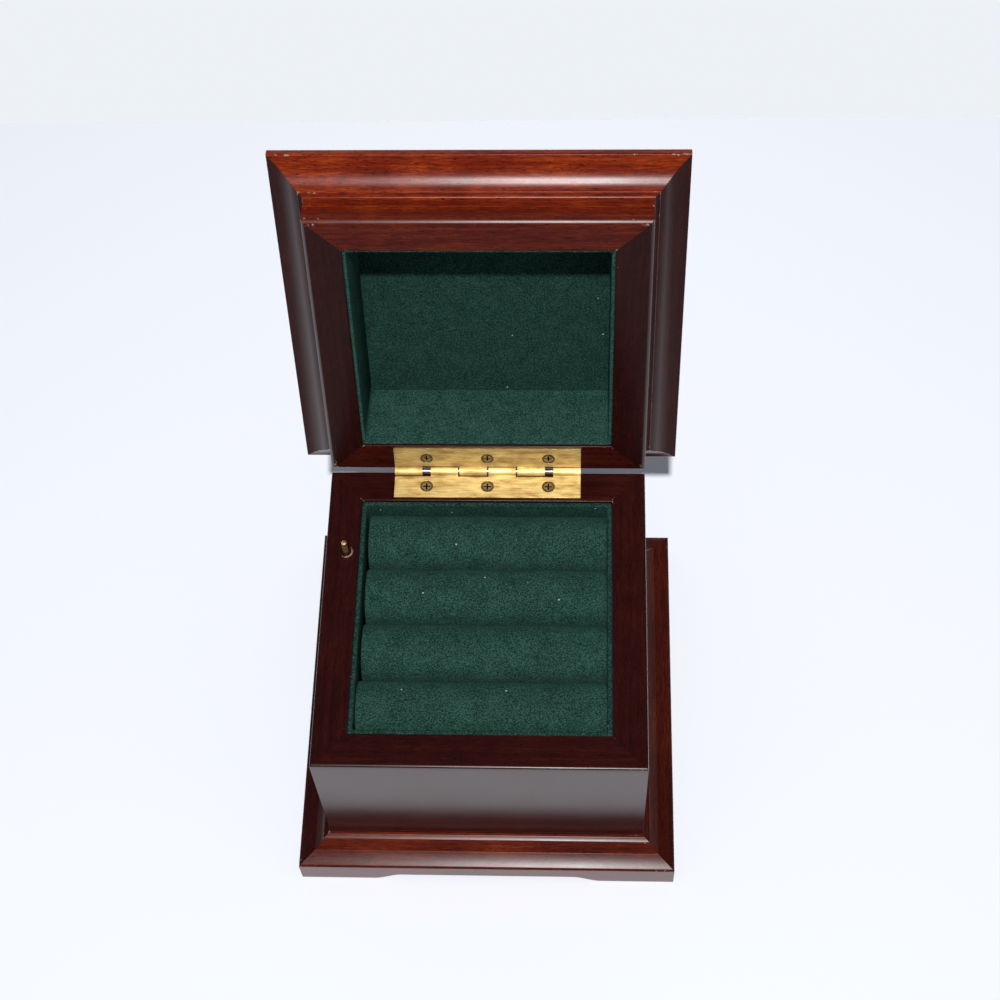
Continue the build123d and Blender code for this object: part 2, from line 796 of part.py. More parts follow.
with BuildPart() as spring_barrel:
    with BuildSketch(Plane.XY.offset(bed_top + barrel_lift)):
        with Locations((arbor_x, 0)):
            Circle(barrel_radius)
    extrude(amount=barrel_height)
    with BuildSketch(Plane.XY.offset(bed_top + barrel_lift + barrel_height)):
        tooth_length = crown_tooth_outer - crown_tooth_inner
        tooth_middle = (crown_tooth_outer + crown_tooth_inner) / 2
        with Locations((arbor_x, 0)):
            with PolarLocations(tooth_middle, crown_teeth, start_angle=180 / crown_teeth):
                Rectangle(tooth_length, crown_tooth_width)
    extrude(amount=crown_tooth_height)
    with BuildSketch(Plane.XY.offset(bed_top + barrel_lift)):
        with Locations((arbor_x, 0)):
            Circle(arbor_radius + running_clearance)
    extrude(amount=barrel_height, mode=Mode.SUBTRACT)
save(spring_barrel, "spring_barrel")


def toothed_disc(y, z, teeth, root, tip, base, top, phase):
    """A gear's outline: a root disc with tapered teeth, the first of them at the phase angle."""
    corners = [(root - base / 2, -base / 2), (tip, -top / 2), (tip, top / 2), (root - base / 2, base / 2)]
    with Locations((y, z)):
        Circle(root)
        with PolarLocations(0, teeth, start_angle=phase):
            Polygon(*corners, align=None)


def pin_places():
    """Where the tune's pins stand: a few on each tooth's track, turned on from track to track."""
    places = []
    for track in range(comb_teeth):
        for pin in range(tune_pin_count):
            angle = math.radians(track * tune_track_turn + pin * tune_pin_turn)
            radial = Vector(0, math.cos(angle), math.sin(angle))
            foot = Vector(cylinder_left + comb_pitch * (track + 0.5), 0, axle_z)
            foot += radial * (cylinder_radius - tune_pin_root)
            places.append(Plane(origin=foot, x_dir=(1, 0, 0), z_dir=radial).location)
    return places


tooth_pitch = math.pi * gear_module
line_angle = math.degrees(math.atan2(governor_z - axle_z, governor_y))
gear_root = gear_pitch_radius - gear_dedendum * gear_module
gear_tip = gear_pitch_radius + gear_addendum * gear_module
governor_root = governor_pitch_radius - gear_dedendum * gear_module
governor_tip = governor_pitch_radius + gear_addendum * gear_module
tooth_base = tooth_pitch * tooth_base_share
tooth_top = tooth_pitch * tooth_top_share

with BuildPart() as music_cylinder:
    with BuildSketch(Plane.YZ.offset(cylinder_left)):
        with Locations((0, axle_z)):
            Circle(cylinder_radius)
    extrude(amount=cylinder_length)
    with BuildSketch(Plane.YZ.offset(left_bearing_x - bearing_gap)):
        with Locations((0, axle_z)):
            Circle(axle_radius)
    extrude(amount=pinion_x + pinion_width / 2 - left_bearing_x + bearing_gap)
    with BuildSketch(Plane.YZ.offset(gear_x)):
        toothed_disc(0, axle_z, gear_teeth, gear_root, gear_tip, tooth_base, tooth_top, line_angle)
    extrude(amount=gear_width)
    with BuildSketch(Plane.YZ.offset(pinion_x - pinion_width / 2)):
        toothed_disc(
            0, axle_z, pinion_teeth, pinion_root, pinion_tip, pinion_tooth_base, pinion_tooth_top, -90
        )
    extrude(amount=pinion_width)
    with Locations(*pin_places()):
        standing = (Align.CENTER, Align.CENTER, Align.MIN)
        Box(tune_pin_width, tune_pin_width, tune_pin_root + tune_pin_rise, align=standing)
save(music_cylinder, "music_cylinder")

# Governor: a pinion and worm wheel on one shaft, and the fly that the wheel drives
wheel_x = left_bearing_x - bearing_gap / 2
fly_x = wheel_x + worm_wheel_width / 2
fly_y = governor_y + worm_wheel_radius + worm_gap + worm_radius
frame_left = wheel_x - bearing_gap - frame_plate
frame_right = gear_x + gear_width + bearing_gap
frame_front = governor_y - cheek_half_width
frame_back = fly_y + fly_half_width + seat_gap
bridge_top = min(bridge_height, lever_top - lever_thickness - seat_gap)

with BuildPart() as governor_wheel:
    with BuildSketch(Plane.YZ.offset(wheel_x)):
        toothed_disc(
            governor_y,
            governor_z,
            worm_wheel_teeth,
            worm_wheel_radius - worm_wheel_tooth,
            worm_wheel_radius,
            worm_wheel_tooth_base,
            worm_wheel_tooth_top,
            0,
        )
    extrude(amount=worm_wheel_width)
    with BuildSketch(Plane.YZ.offset(gear_x)):
        toothed_disc(
            governor_y,
            governor_z,
            governor_teeth,
            governor_root,
            governor_tip,
            tooth_base,
            tooth_top,
            line_angle + 180 + 180 / governor_teeth,
        )
    extrude(amount=gear_width)
    with BuildSketch(Plane.YZ.offset(frame_left)):
        with Locations((governor_y, governor_z)):
            Circle(governor_shaft_radius)
    extrude(amount=frame_right + frame_plate - frame_left)
save(governor_wheel, "governor_wheel")

fly_bottom = governor_z + worm_wheel_radius + fly_lift

with BuildPart() as governor_fly:
    with BuildSketch(Plane.XY.offset(bed_top + frame_sole / 2)):
        with Locations((fly_x, fly_y)):
            Circle(fly_spindle_radius)
    extrude(amount=bridge_top - bed_top - frame_sole / 2)
    with BuildSketch(Plane.XY.offset(governor_z - worm_wheel_radius)):
        with Locations((fly_x, fly_y)):
            Circle(worm_radius)
    extrude(amount=2 * worm_wheel_radius)
    with BuildSketch(Plane.XY.offset(fly_bottom)):
        with Locations((fly_x, fly_y)):
            Circle(fly_hub_radius)
            Rectangle(2 * fly_half_width, fly_thickness)
    extrude(amount=fly_height)
save(governor_fly, "governor_fly")

with BuildPart() as governor_frame:
    with BuildSketch(Plane.XY.offset(bed_top)):
        frame_width = frame_right + frame_plate - frame_left
        frame_depth = frame_back + frame_plate - frame_front
        with Locations((frame_left + frame_width / 2, frame_front + frame_depth / 2)):
            Rectangle(frame_width, frame_depth)
    extrude(amount=frame_sole)
    with BuildSketch(Plane.XY.offset(bed_top + frame_sole)):
        for cheek_x in (frame_left, frame_right):
            with Locations((cheek_x + frame_plate / 2, governor_y)):
                Rectangle(frame_plate, 2 * cheek_half_width)
    extrude(amount=governor_z + cheek_over - bed_top - frame_sole)
    with BuildSketch(Plane.XY.offset(bed_top + frame_sole)):
        with Locations((fly_x, frame_back + frame_plate / 2)):
            Rectangle(bridge_width, frame_plate)
    extrude(amount=bridge_top - bed_top - frame_sole)
    with BuildSketch(Plane.XY.offset(bridge_top - frame_plate)):
        with Locations((fly_x, (fly_y - bridge_width / 2 + frame_back) / 2)):
            Rectangle(bridge_width, frame_back - fly_y + bridge_width / 2)
    extrude(amount=frame_plate)
    with BuildSketch(Plane.XY.offset(bed_top)):
        with Locations((fly_x, fly_y)):
            Circle(fly_spindle_radius + running_clearance)
    extrude(amount=bridge_top - bed_top, mode=Mode.SUBTRACT)
    with BuildSketch(Plane.YZ.offset(frame_left)):
        with Locations((governor_y, governor_z)):
            Circle(governor_shaft_radius + running_clearance)
    extrude(amount=frame_width, mode=Mode.SUBTRACT)
save(governor_frame, "governor_frame")

# Stop pin and the lever under it, whose finger drops into the fly's path
with BuildPart() as stop_pin:
    with BuildSketch(Plane.XY.offset(stop_pin_bottom)):
        with Locations((stop_pin_x, stop_pin_y)):
            Circle(stop_pin_radius)
    extrude(amount=rim_height + stop_pin_rise - stop_pin_bottom)
    chamfer(stop_pin.edges().group_by(Axis.Z)[-1], length=stop_pin_chamfer)
    with BuildSketch(Plane.XY.offset(collar_bottom)):
        with Locations((stop_pin_x, stop_pin_y)):
            Circle(collar_radius)
    extrude(amount=collar_thickness)
save(stop_pin, "stop_pin")

finger_x = fly_x - bridge_width / 2 - finger_gap - finger_width / 2
finger_y = fly_y + finger_reach
finger_bottom = fly_bottom + fly_height + seat_gap
lever_left = stop_pin_x - lever_end

with BuildPart() as stop_lever:
    with BuildSketch(Plane.XY.offset(lever_top - lever_thickness)):
        with Locations(((lever_left + lever_pivot_x + lever_end) / 2, stop_pin_y)):
            Rectangle(lever_pivot_x + lever_end - lever_left, lever_width)
        with Locations((finger_x, (finger_y + stop_pin_y) / 2)):
            Rectangle(finger_width, stop_pin_y - finger_y)
    extrude(amount=lever_thickness)
    with BuildSketch(Plane.XY.offset(finger_bottom)):
        with Locations((finger_x, finger_y + finger_thickness / 2)):
            Rectangle(finger_width, finger_thickness)
    extrude(amount=lever_top - lever_thickness - finger_bottom)
    with BuildSketch(Plane.XZ.offset(-lug_y - lug_thickness)):
        with Locations((lever_pivot_x, lever_pin_z)):
            Circle(lever_pivot_radius)
    extrude(amount=lug_thickness + seat_gap + lever_width)
save(stop_lever, "stop_lever")
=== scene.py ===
"""Dresses the square mahogany musical jewelry box and lights it for the photograph's view.

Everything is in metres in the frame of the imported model: +X is the box's right, +Y its back,
+Z up, with the lid standing open. Sizes whose names end in _mm are in millimetres. The woodwork,
linings and ring rolls are surfaces worked out here. The hinge leaves, most of the screws, the
stop pin, the key and three pieces of the movement are copies of their solids with broken edges.
Every other piece keeps its own solid.
"""

import json
import logging
import math
from dataclasses import dataclass, field
from enum import Enum

import bmesh
import bpy
import numpy as np
from bpy.types import Material, Node, NodeSocket, NodeTree, Object
from mathutils import Matrix, Vector


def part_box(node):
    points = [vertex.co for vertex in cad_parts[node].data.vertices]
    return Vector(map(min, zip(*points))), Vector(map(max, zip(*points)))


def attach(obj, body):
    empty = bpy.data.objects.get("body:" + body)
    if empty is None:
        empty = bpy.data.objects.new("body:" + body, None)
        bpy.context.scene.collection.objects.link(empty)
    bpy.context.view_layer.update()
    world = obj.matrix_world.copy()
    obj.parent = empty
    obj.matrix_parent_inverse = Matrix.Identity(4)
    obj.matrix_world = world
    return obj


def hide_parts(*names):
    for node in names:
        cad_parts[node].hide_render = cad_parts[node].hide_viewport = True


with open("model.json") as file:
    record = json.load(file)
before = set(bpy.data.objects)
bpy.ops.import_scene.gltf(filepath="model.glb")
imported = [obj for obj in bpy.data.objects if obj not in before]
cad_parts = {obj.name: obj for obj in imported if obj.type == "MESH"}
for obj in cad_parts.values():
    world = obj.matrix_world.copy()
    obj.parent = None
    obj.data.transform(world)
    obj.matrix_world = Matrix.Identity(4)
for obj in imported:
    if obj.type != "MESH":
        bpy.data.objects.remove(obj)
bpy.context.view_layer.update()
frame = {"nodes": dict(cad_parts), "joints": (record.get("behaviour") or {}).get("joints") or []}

LOG = logging.getLogger("jewelry_box")
MM = 0.001
SEED = 7
# Height of the case's rim, and how far above it the shut lid's face lies
RIM = 74.0 * MM
LID_GAP = 0.3 * MM
# A corner of a section is rounded where it turns by more than this angle, and the round takes
# no more than this share of either edge
SHARP_TURN = math.radians(25)
LARGEST_CUT = 0.45
# Between these two lies most of a noise's grey
NOISE_BAND = (0.3, 0.7)


class Side(Enum):
    """The four sides of a square frame, by quarter turns from +X."""

    RIGHT = 0
    BACK = 1
    LEFT = 2
    FRONT = 3

    @property
    def outward(self) -> np.ndarray:
        """Unit vector that points out of this side."""
        turn = self.value * math.pi / 2
        return np.array([round(math.cos(turn)), round(math.sin(turn)), 0.0])

    @property
    def along(self) -> np.ndarray:
        """Unit vector that runs along this side."""
        return np.cross([0.0, 0.0, 1.0], self.outward)


def srgb(text: str) -> tuple[float, float, float, float]:
    """Turn an sRGB hex colour into the linear values that a shader takes.

    Args:
        text: Six hex digits with a leading hash.

    Returns:
        Linear red, green, blue and an alpha of 1.
    """
    channels = [int(text[i : i + 2], 16) / 255 for i in (1, 3, 5)]
    linear = [c / 12.92 if c <= 0.04045 else ((c + 0.055) / 1.055) ** 2.4 for c in channels]
    return (linear[0], linear[1], linear[2], 1.0)


def feed(node: Node, inputs: dict | tuple) -> None:
    """Set a node's inputs.

    Args:
        node: The node.
        inputs: Socket name or index, to a value or to the output that feeds it; or a tuple of
            these in the order of the sockets.
    """
    for name, value in inputs.items() if isinstance(inputs, dict) else enumerate(inputs):
        if isinstance(value, NodeSocket):
            node.id_data.links.new(value, node.inputs[name])
        else:
            node.inputs[name].default_value = value


def add(
    tree: NodeTree, kind: str, inputs: dict | tuple = (), stops: list | None = None, **settings: str
) -> Node:
    """Add one shader node with its settings and links.

    Args:
        tree: The node tree.
        kind: The node's type name, without ShaderNode in front.
        inputs: What feed takes.
        stops: A colour ramp's positions with their sRGB hex colours, in order.
        settings: Values of the node's own properties.

    Returns:
        The new node.
    """
    node = tree.nodes.new(f"ShaderNode{kind}")
    for name, value in settings.items():
        setattr(node, name, value)
    feed(node, inputs)
    if stops:
        elements = node.color_ramp.elements
        while len(elements) < len(stops):
            elements.new(0.5)
        for element, (position, colour) in zip(elements, stops):
            element.position = position
            element.color = srgb(colour)
    return node


def new_material(name: str) -> tuple[Material, NodeTree, Node]:
    """Make a material that has only its shader.

    Args:
        name: The material's name.

    Returns:
        The material, its node tree and its shader.
    """
    material = bpy.data.materials.new(name)
    material.use_nodes = True
    return material, material.node_tree, material.node_tree.nodes["Principled BSDF"]


def grain(tree: NodeTree, place: NodeSocket, sizes: tuple, detail: float, rough: float = 0.6) -> NodeSocket:
    """Add noise stretched to a real size along each axis.

    Args:
        tree: The node tree.
        place: The coordinates.
        sizes: Size of the pattern along x, y and z, in the coordinates' unit.
        detail: Octaves of finer noise.
        rough: How strong the finer octaves are.

    Returns:
        The noise's grey level.
    """
    scale = tuple(1 / size for size in sizes)
    stretched = add(tree, "Mapping", {"Vector": place, "Scale": scale}).outputs[0]
    noise = {"Vector": stretched, "Scale": 1.0, "Detail": detail, "Roughness": rough}
    return add(tree, "TexNoise", noise).outputs["Fac"]


@dataclass(frozen=True)
class Mahogany:
    """Stained mahogany under sprayed lacquer: near black-red where the stain lies deep, orange in
    the grain of the boards that face the lamp, where light is painted on, fine dark pores, and
    a hard gloss with pale worn chips.
    """

    name: str = "sprayed_lacquer_on_stained_mahogany"
    deep: tuple = ("#1a0808", "#230b0b", "#2c0f0d")
    bright: tuple = ("#4c1004", "#782209", "#a44213")
    stops: tuple = (0.08, 0.5, 0.95)
    pore: str = "#0d0302"
    worn: str = "#937c70"
    figure_mm: tuple = (38.0, 1.5, 1.5)
    streak_mm: tuple = (4.5, 0.36, 0.36)
    streak_share: float = 0.55
    pore_mm: tuple = (1.8, 0.2, 0.2)
    cloud_mm: float = 16.0
    cloud_share: float = 0.25
    chip_mm: float = 1.3
    orange_peel_mm: float = 1.4
    level_band: tuple = (0.34, 0.66)
    pore_band: tuple = (0.60, 0.72)
    pore_depth: float = 0.3
    knock_weight: float = 0.24
    chip_band: tuple = (0.80, 0.86)
    roughness: float = 0.22
    ior: float = 1.5
    gloss: tuple = (0.08, 0.50)
    gloss_facing: tuple = (0.40, 0.66)

    def build(self) -> Material:
        """Make the material.

        The grain follows the piece's own fibre coordinates in millimetres. The board's tone
        attribute picks how bright its board is, and is mostly painted light: high on boards that
        face the lamp, low on those turned away and at the lid's mating faces. Arris says how exposed
        each point is to knocks: chips show where their noise and a share of arris come to enough.
        The lacquer's gloss grows as the surface turns from the eye.

        Returns:
            The material.
        """
        material, tree, shader = new_material(self.name)
        fibre = add(tree, "Attribute", attribute_name="fibre").outputs["Vector"]
        arris = add(tree, "Attribute", attribute_name="arris").outputs["Fac"]
        tone = add(tree, "Attribute", attribute_name="tone").outputs["Fac"]
        figure = grain(tree, fibre, self.figure_mm, 5.0)
        streak = grain(tree, fibre, self.streak_mm, 3.0)
        pores = grain(tree, fibre, self.pore_mm, 1.0)
        clouds = grain(tree, fibre, (self.cloud_mm,) * 3, 3.0)
        both = add(tree, "Mix", {0: self.streak_share, 2: figure, 3: streak}).outputs[0]
        level = add(tree, "Mix", {0: self.cloud_share, 2: both, 3: clouds}).outputs[0]
        place = add(tree, "MapRange", (level, *self.level_band)).outputs[0]
        deep = add(tree, "ValToRGB", (place,), list(zip(self.stops, self.deep))).outputs[0]
        bright = add(tree, "ValToRGB", (place,), list(zip(self.stops, self.bright))).outputs[0]
        # Painted light: the tone mixes the deep palette towards the bright one on boards that face the lamp
        wood = add(tree, "Mix", data_type="RGBA", inputs={0: tone, 6: deep, 7: bright}).outputs[2]
        holes = add(tree, "MapRange", (pores, *self.pore_band)).outputs[0]
        pored = add(tree, "Mix", data_type="RGBA", inputs={0: holes, 6: wood, 7: srgb(self.pore)})
        chips = grain(tree, fibre, (self.chip_mm,) * 3, 3.0)
        knocked = (arris, self.knock_weight, chips)
        exposed = add(tree, "Math", knocked, operation="MULTIPLY_ADD").outputs[0]
        bare = add(tree, "MapRange", (exposed, *self.chip_band)).outputs[0]
        chipped = {0: bare, 6: pored.outputs[2], 7: srgb(self.worn)}
        worn = add(tree, "Mix", chipped, data_type="RGBA").outputs[2]
        dull, sharp = self.roughness * 1.1, self.roughness * 0.95
        rough = add(tree, "MapRange", (clouds, *NOISE_BAND, sharp, dull)).outputs[0]
        facing = add(tree, "LayerWeight", {"Blend": 0.5}).outputs["Facing"]
        gloss = add(tree, "MapRange", (facing, *self.gloss_facing, *self.gloss)).outputs[0]
        peel = grain(tree, fibre, (self.orange_peel_mm,) * 3, 1.0)
        sunk = add(tree, "Math", (holes, -self.pore_depth, peel), operation="MULTIPLY_ADD").outputs[0]
        bump = add(tree, "Bump", {"Height": sunk, "Strength": 0.3, "Distance": 0.012 * MM}).outputs[0]
        feed(shader, {"Base Color": worn, "Roughness": rough, "Normal": bump, "IOR": self.ior})
        feed(shader, {"Specular IOR Level": gloss})
        return material


@dataclass(frozen=True)
class PlainWood:
    """Plain stock without lacquer, matt with soft pale streaks along its grain: birch plywood,
    pine, or the lid panel's stained veneer.
    """

    name: str
    dark: str
    light: str
    grain_axis: int = 0
    grain_width_mm: float = 1.4
    grain_length_mm: float = 40.0
    streak_stops: tuple = (0.32, 0.66)

    def build(self) -> Material:
        """Make the material. Streaks run along one object axis.

        Returns:
            The material.
        """
        material, tree, shader = new_material(self.name)
        place = add(tree, "TexCoord").outputs["Object"]
        sizes = [self.grain_width_mm * MM] * 3
        sizes[self.grain_axis] = self.grain_length_mm * MM
        streaks = grain(tree, place, tuple(sizes), 5.0)
        stops = list(zip(self.streak_stops, (self.dark, self.light)))
        colour = add(tree, "ValToRGB", (streaks,), stops).outputs[0]
        bump = add(tree, "Bump", {"Height": streaks, "Strength": 0.4, "Distance": 0.05 * MM}).outputs[0]
        feed(shader, {"Base Color": colour, "Normal": bump, "Roughness": 0.72})
        return material


@dataclass(frozen=True)
class Metal:
    """A small metal fitting: its plating or alloy, how far it has dulled, and its fine scratches.

    A per-point attribute says where shade is painted on it, in the crosses and round the
    heads of screws. A brushed one spreads its highlights across the brushing, which runs
    along X.
    """

    name: str
    bright: str
    dull: str
    roughness: float
    scratch_mm: float = 0.14
    scratch_length_mm: float = 7.0
    scratch_share: float = 0.4
    cloud_mm: float = 3.0
    dull_share: float = 0.35
    dull_spread: float = 0.3
    relief: float = 0.3
    brushed: float = 0.0
    # Colour of the painted shade in recesses and round screw heads
    painted_shade: str = "#150c06"

    def build(self) -> Material:
        """Make the material from cloudy tarnish and drawn scratches along X.

        Returns:
            The material.
        """
        material, tree, shader = new_material(self.name)
        place = add(tree, "TexCoord").outputs["Object"]
        cloud, scratch = self.cloud_mm * MM, self.scratch_mm * MM
        clouds = grain(tree, place, (3 * cloud, cloud, cloud), 5.0)
        scratches = grain(tree, place, (self.scratch_length_mm * MM, scratch, scratch), 3.0, 0.5)
        level = add(tree, "Mix", {0: self.scratch_share, 2: clouds, 3: scratches}).outputs[0]
        low = 0.5 - self.dull_share / 2
        stops = [(low, self.bright), (low + self.dull_spread, self.dull)]
        colour = add(tree, "ValToRGB", (level,), stops).outputs[0]
        # Painted shade where the attribute is set: in screw crosses and round their heads
        painted_shade = add(tree, "Attribute", attribute_name="painted_shade").outputs["Fac"]
        painted_shading = {0: painted_shade, 6: colour, 7: srgb(self.painted_shade)}
        painted_shaded = add(tree, "Mix", painted_shading, data_type="RGBA").outputs[2]
        sharp, dull = self.roughness * 0.8, self.roughness * 1.3
        rough = add(tree, "MapRange", (level, *NOISE_BAND, sharp, dull)).outputs[0]
        scored = {"Height": scratches, "Strength": self.relief, "Distance": 0.02 * MM}
        bump = add(tree, "Bump", scored).outputs[0]
        feed(shader, {"Base Color": painted_shaded, "Roughness": rough, "Normal": bump, "Metallic": 1.0})
        if self.brushed:
            tangent = add(tree, "Tangent", direction_type="UV_MAP", uv_map="brushing").outputs[0]
            feed(shader, {"Anisotropic": self.brushed, "Tangent": tangent})
        return material


@dataclass(frozen=True)
class Flock:
    """Rayon flock blown on to glue: a short green nap that drinks the light, paler where it has
    been rubbed, with a speckle and a little pale lint.
    """

    name: str
    shade: str = "#10231f"
    tip: str = "#2c4b43"
    rubbed: str = "#4d665a"
    nap_mm: float = 0.42
    patch_mm: float = 5.0
    patch_share: float = 0.12
    sheen: str = "#3f6258"
    lint: str = "#b9c2b4"
    lint_cell_mm: float = 1.9
    lint_level: float = 0.1
    lint_edge: tuple = (0.16, 0.08)
    nap_stops: tuple = (0.44, 0.60)
    rub_weight: float = 0.5
    bald_band: tuple = (0.82, 1.22)
    bald_most: float = 0.9

    def build(self) -> Material:
        """Make the material from speckle and patches; the rub attribute says where nap is gone.

        The nap's speckle is drawn several times as coarse as the fibres, so that it shows. A
        cell holds a speck of lint where its random grey lies below the lint level.

        Returns:
            The material.
        """
        material, tree, shader = new_material(self.name)
        place = add(tree, "TexCoord").outputs["Object"]
        rub = add(tree, "Attribute", attribute_name="rub").outputs["Fac"]
        fine = {"Vector": place, "Scale": 1 / (self.nap_mm * MM), "Detail": 3.0, "Roughness": 0.75}
        nap = add(tree, "TexNoise", fine).outputs["Fac"]
        coarse = {"Vector": place, "Scale": 1 / (self.patch_mm * MM), "Detail": 4.0}
        patches = add(tree, "TexNoise", coarse).outputs["Fac"]
        level = add(tree, "Mix", {0: self.patch_share, 2: nap, 3: patches}).outputs[0]
        stops = list(zip(self.nap_stops, (self.shade, self.tip)))
        colour = add(tree, "ValToRGB", (level,), stops).outputs[0]
        thin = add(tree, "Math", (rub, self.rub_weight, nap), operation="MULTIPLY_ADD").outputs[0]
        bald = add(tree, "MapRange", (thin, *self.bald_band, 0.0, self.bald_most)).outputs[0]
        thinned = {0: bald, 6: colour, 7: srgb(self.rubbed)}
        rubbed = add(tree, "Mix", thinned, data_type="RGBA").outputs[2]
        cells = {"Vector": place, "Scale": 1 / (self.lint_cell_mm * MM), "Randomness": 1.0}
        specks = add(tree, "TexVoronoi", cells, feature="F1").outputs
        near = add(tree, "MapRange", (specks["Distance"], *self.lint_edge)).outputs[0]
        picked = add(tree, "Math", (specks["Color"], self.lint_level), operation="LESS_THAN").outputs[0]
        lint = add(tree, "Math", (near, picked), operation="MULTIPLY").outputs[0]
        flecked = {0: lint, 6: rubbed, 7: srgb(self.lint)}
        linted = add(tree, "Mix", flecked, data_type="RGBA").outputs[2]
        bump = add(tree, "Bump", {"Height": nap, "Strength": 0.8, "Distance": 0.14 * MM}).outputs[0]
        feed(shader, {"Base Color": linted, "Normal": bump, "Roughness": 1.0, "Specular IOR Level": 0.0})
        feed(shader, {"Sheen Weight": 0.3, "Sheen Roughness": 0.6, "Sheen Tint": srgb(self.sheen)})
        return material


def arc_between(start: tuple, end: tuple, sagitta: float, count: int = 9) -> np.ndarray:
    """Points of a circular arc, by its bulge to the left of the line from start to end.

    The radius comes from half the chord and the sagitta; the points are spaced by equal angles.

    Args:
        start: First point.
        end: Last point.
        sagitta: Height of the bulge; positive lies to the left.
        count: How many points, ends included.

    Returns:
        An array of points, one a row.
    """
    start, end = np.asarray(start, float), np.asarray(end, float)
    chord = end - start
    half = np.linalg.norm(chord) / 2
    left = np.array([-chord[1], chord[0]]) / (2 * half)
    radius = (half**2 + sagitta**2) / (2 * abs(sagitta))
    sign = math.copysign(1, sagitta)
    centre = (start + end) / 2 + left * (sagitta - sign * radius)
    reach = math.asin(min(1.0, half / radius))
    angles = np.linspace(-reach, reach, count)
    unit = chord / (2 * half)
    return centre + radius * (np.outer(np.sin(angles), unit) + np.outer(np.cos(angles), left) * sign)


def soften(outline: np.ndarray, radius: float, steps: int = 3) -> tuple[np.ndarray, np.ndarray]:
    """Round every sharp corner of a closed outline, and say where the corners were.

    Each sharp corner becomes a quadratic curve from a point just before it to a point just
    after it.

    Args:
        outline: Closed outline, one point a row.
        radius: How far from the corner the curve starts, at most.
        steps: Segments of the curve.

    Returns:
        The softened outline, and for each of its points 1 on a corner and 0 elsewhere.
    """
    points, marks = [], []
    for index, here in enumerate(outline):
        back, ahead = outline[index - 1] - here, outline[(index + 1) % len(outline)] - here
        back_length, ahead_length = np.linalg.norm(back), np.linalg.norm(ahead)
        turn = math.pi - math.acos(np.clip(back @ ahead / (back_length * ahead_length), -1, 1))
        if turn < SHARP_TURN:
            points.append(here)
            marks.append(0.0)
            continue
        cut = min(radius, LARGEST_CUT * back_length, LARGEST_CUT * ahead_length)
        start, end = here + back / back_length * cut, here + ahead / ahead_length * cut
        for t in np.linspace(0, 1, steps + 1):
            points.append((1 - t) ** 2 * start + 2 * t * (1 - t) * here + t**2 * end)
            marks.append(1.0)
    return np.array(points), np.array(marks)


def subdivide_outline(outline: np.ndarray, marks: np.ndarray, step: float) -> tuple[np.ndarray, np.ndarray]:
    """Split long edges of a closed outline so that no edge is longer than step.

    Args:
        outline: Closed outline, one point a row.
        marks: One value a point.
        step: Longest edge to leave.

    Returns:
        The finer outline and its marks; new points have a mark of 0.
    """
    points, values = [], []
    for index, here in enumerate(outline):
        after = outline[(index + 1) % len(outline)]
        pieces = max(1, math.ceil(np.linalg.norm(after - here) / step))
        for piece in range(pieces):
            points.append(here + (after - here) * piece / pieces)
            values.append(marks[index] if piece == 0 else 0.0)
    return np.array(points), np.array(values)


def put(name: str, data: bpy.types.ID) -> Object:
    """Make an object of a mesh, lamp or camera, and link it to the scene.

    Args:
        name: The object's name.
        data: What it shows.

    Returns:
        The object, at the origin.
    """
    obj = bpy.data.objects.new(name, data)
    bpy.context.scene.collection.objects.link(obj)
    return obj


def points_of(mesh: bpy.types.Mesh) -> np.ndarray:
    """Read the points of a mesh.

    Args:
        mesh: The mesh.

    Returns:
        Its points, one a row.
    """
    points = np.empty(len(mesh.vertices) * 3)
    mesh.vertices.foreach_get("co", points)
    return points.reshape(-1, 3)


def mesh_from_grid(name: str, grid: np.ndarray, closed_rows: bool = False, capped: bool = True) -> Object:
    """Make a mesh object from a grid of points whose columns close on themselves.

    Quads join each point to its neighbours along both directions. Caps close the first and
    last row with one face each.

    Args:
        name: The object's name.
        grid: Points as rows × columns × 3, in metres.
        closed_rows: Whether the last row joins the first.
        capped: Whether to close the first and last rows.

    Returns:
        The new object, linked to the scene.
    """
    index = np.arange(grid.shape[0] * grid.shape[1]).reshape(grid.shape[:2])
    lower = index if closed_rows else index[:-1]
    upper = np.roll(index, -1, axis=0) if closed_rows else index[1:]
    next_lower, next_upper = np.roll(lower, -1, axis=1), np.roll(upper, -1, axis=1)
    faces = np.stack([lower, next_lower, next_upper, upper], axis=-1).reshape(-1, 4).tolist()
    if capped:
        faces += [index[0, ::-1].tolist(), index[-1].tolist()]
    mesh = bpy.data.meshes.new(name)
    mesh.from_pydata(grid.reshape(-1, 3).tolist(), [], faces)
    mesh.validate()
    return put(name, mesh)


def smooth(obj: Object, angle_degrees: float = 35.0) -> None:
    """Shade an object smooth except across edges sharper than the angle.

    Args:
        obj: The object.
        angle_degrees: The angle.
    """
    mesh = obj.data
    mesh.polygons.foreach_set("use_smooth", np.ones(len(mesh.polygons), bool))
    mesh.set_sharp_from_angle(angle=math.radians(angle_degrees))


def settle(obj: Object, angle_degrees: float = 35.0) -> None:
    """Shade smooth, with each corner's normal weighted by face area, so that flats stay flat.

    Args:
        obj: The object, whose mesh is replaced.
        angle_degrees: Edges sharper than this stay sharp.
    """
    smooth(obj, angle_degrees)
    modifier = obj.modifiers.new("settle", "WEIGHTED_NORMAL")
    modifier.keep_sharp = True
    modifier.weight = 80
    graph = bpy.context.evaluated_depsgraph_get()
    settled = bpy.data.meshes.new_from_object(obj.evaluated_get(graph))
    obj.modifiers.remove(modifier)
    obj.data = settled


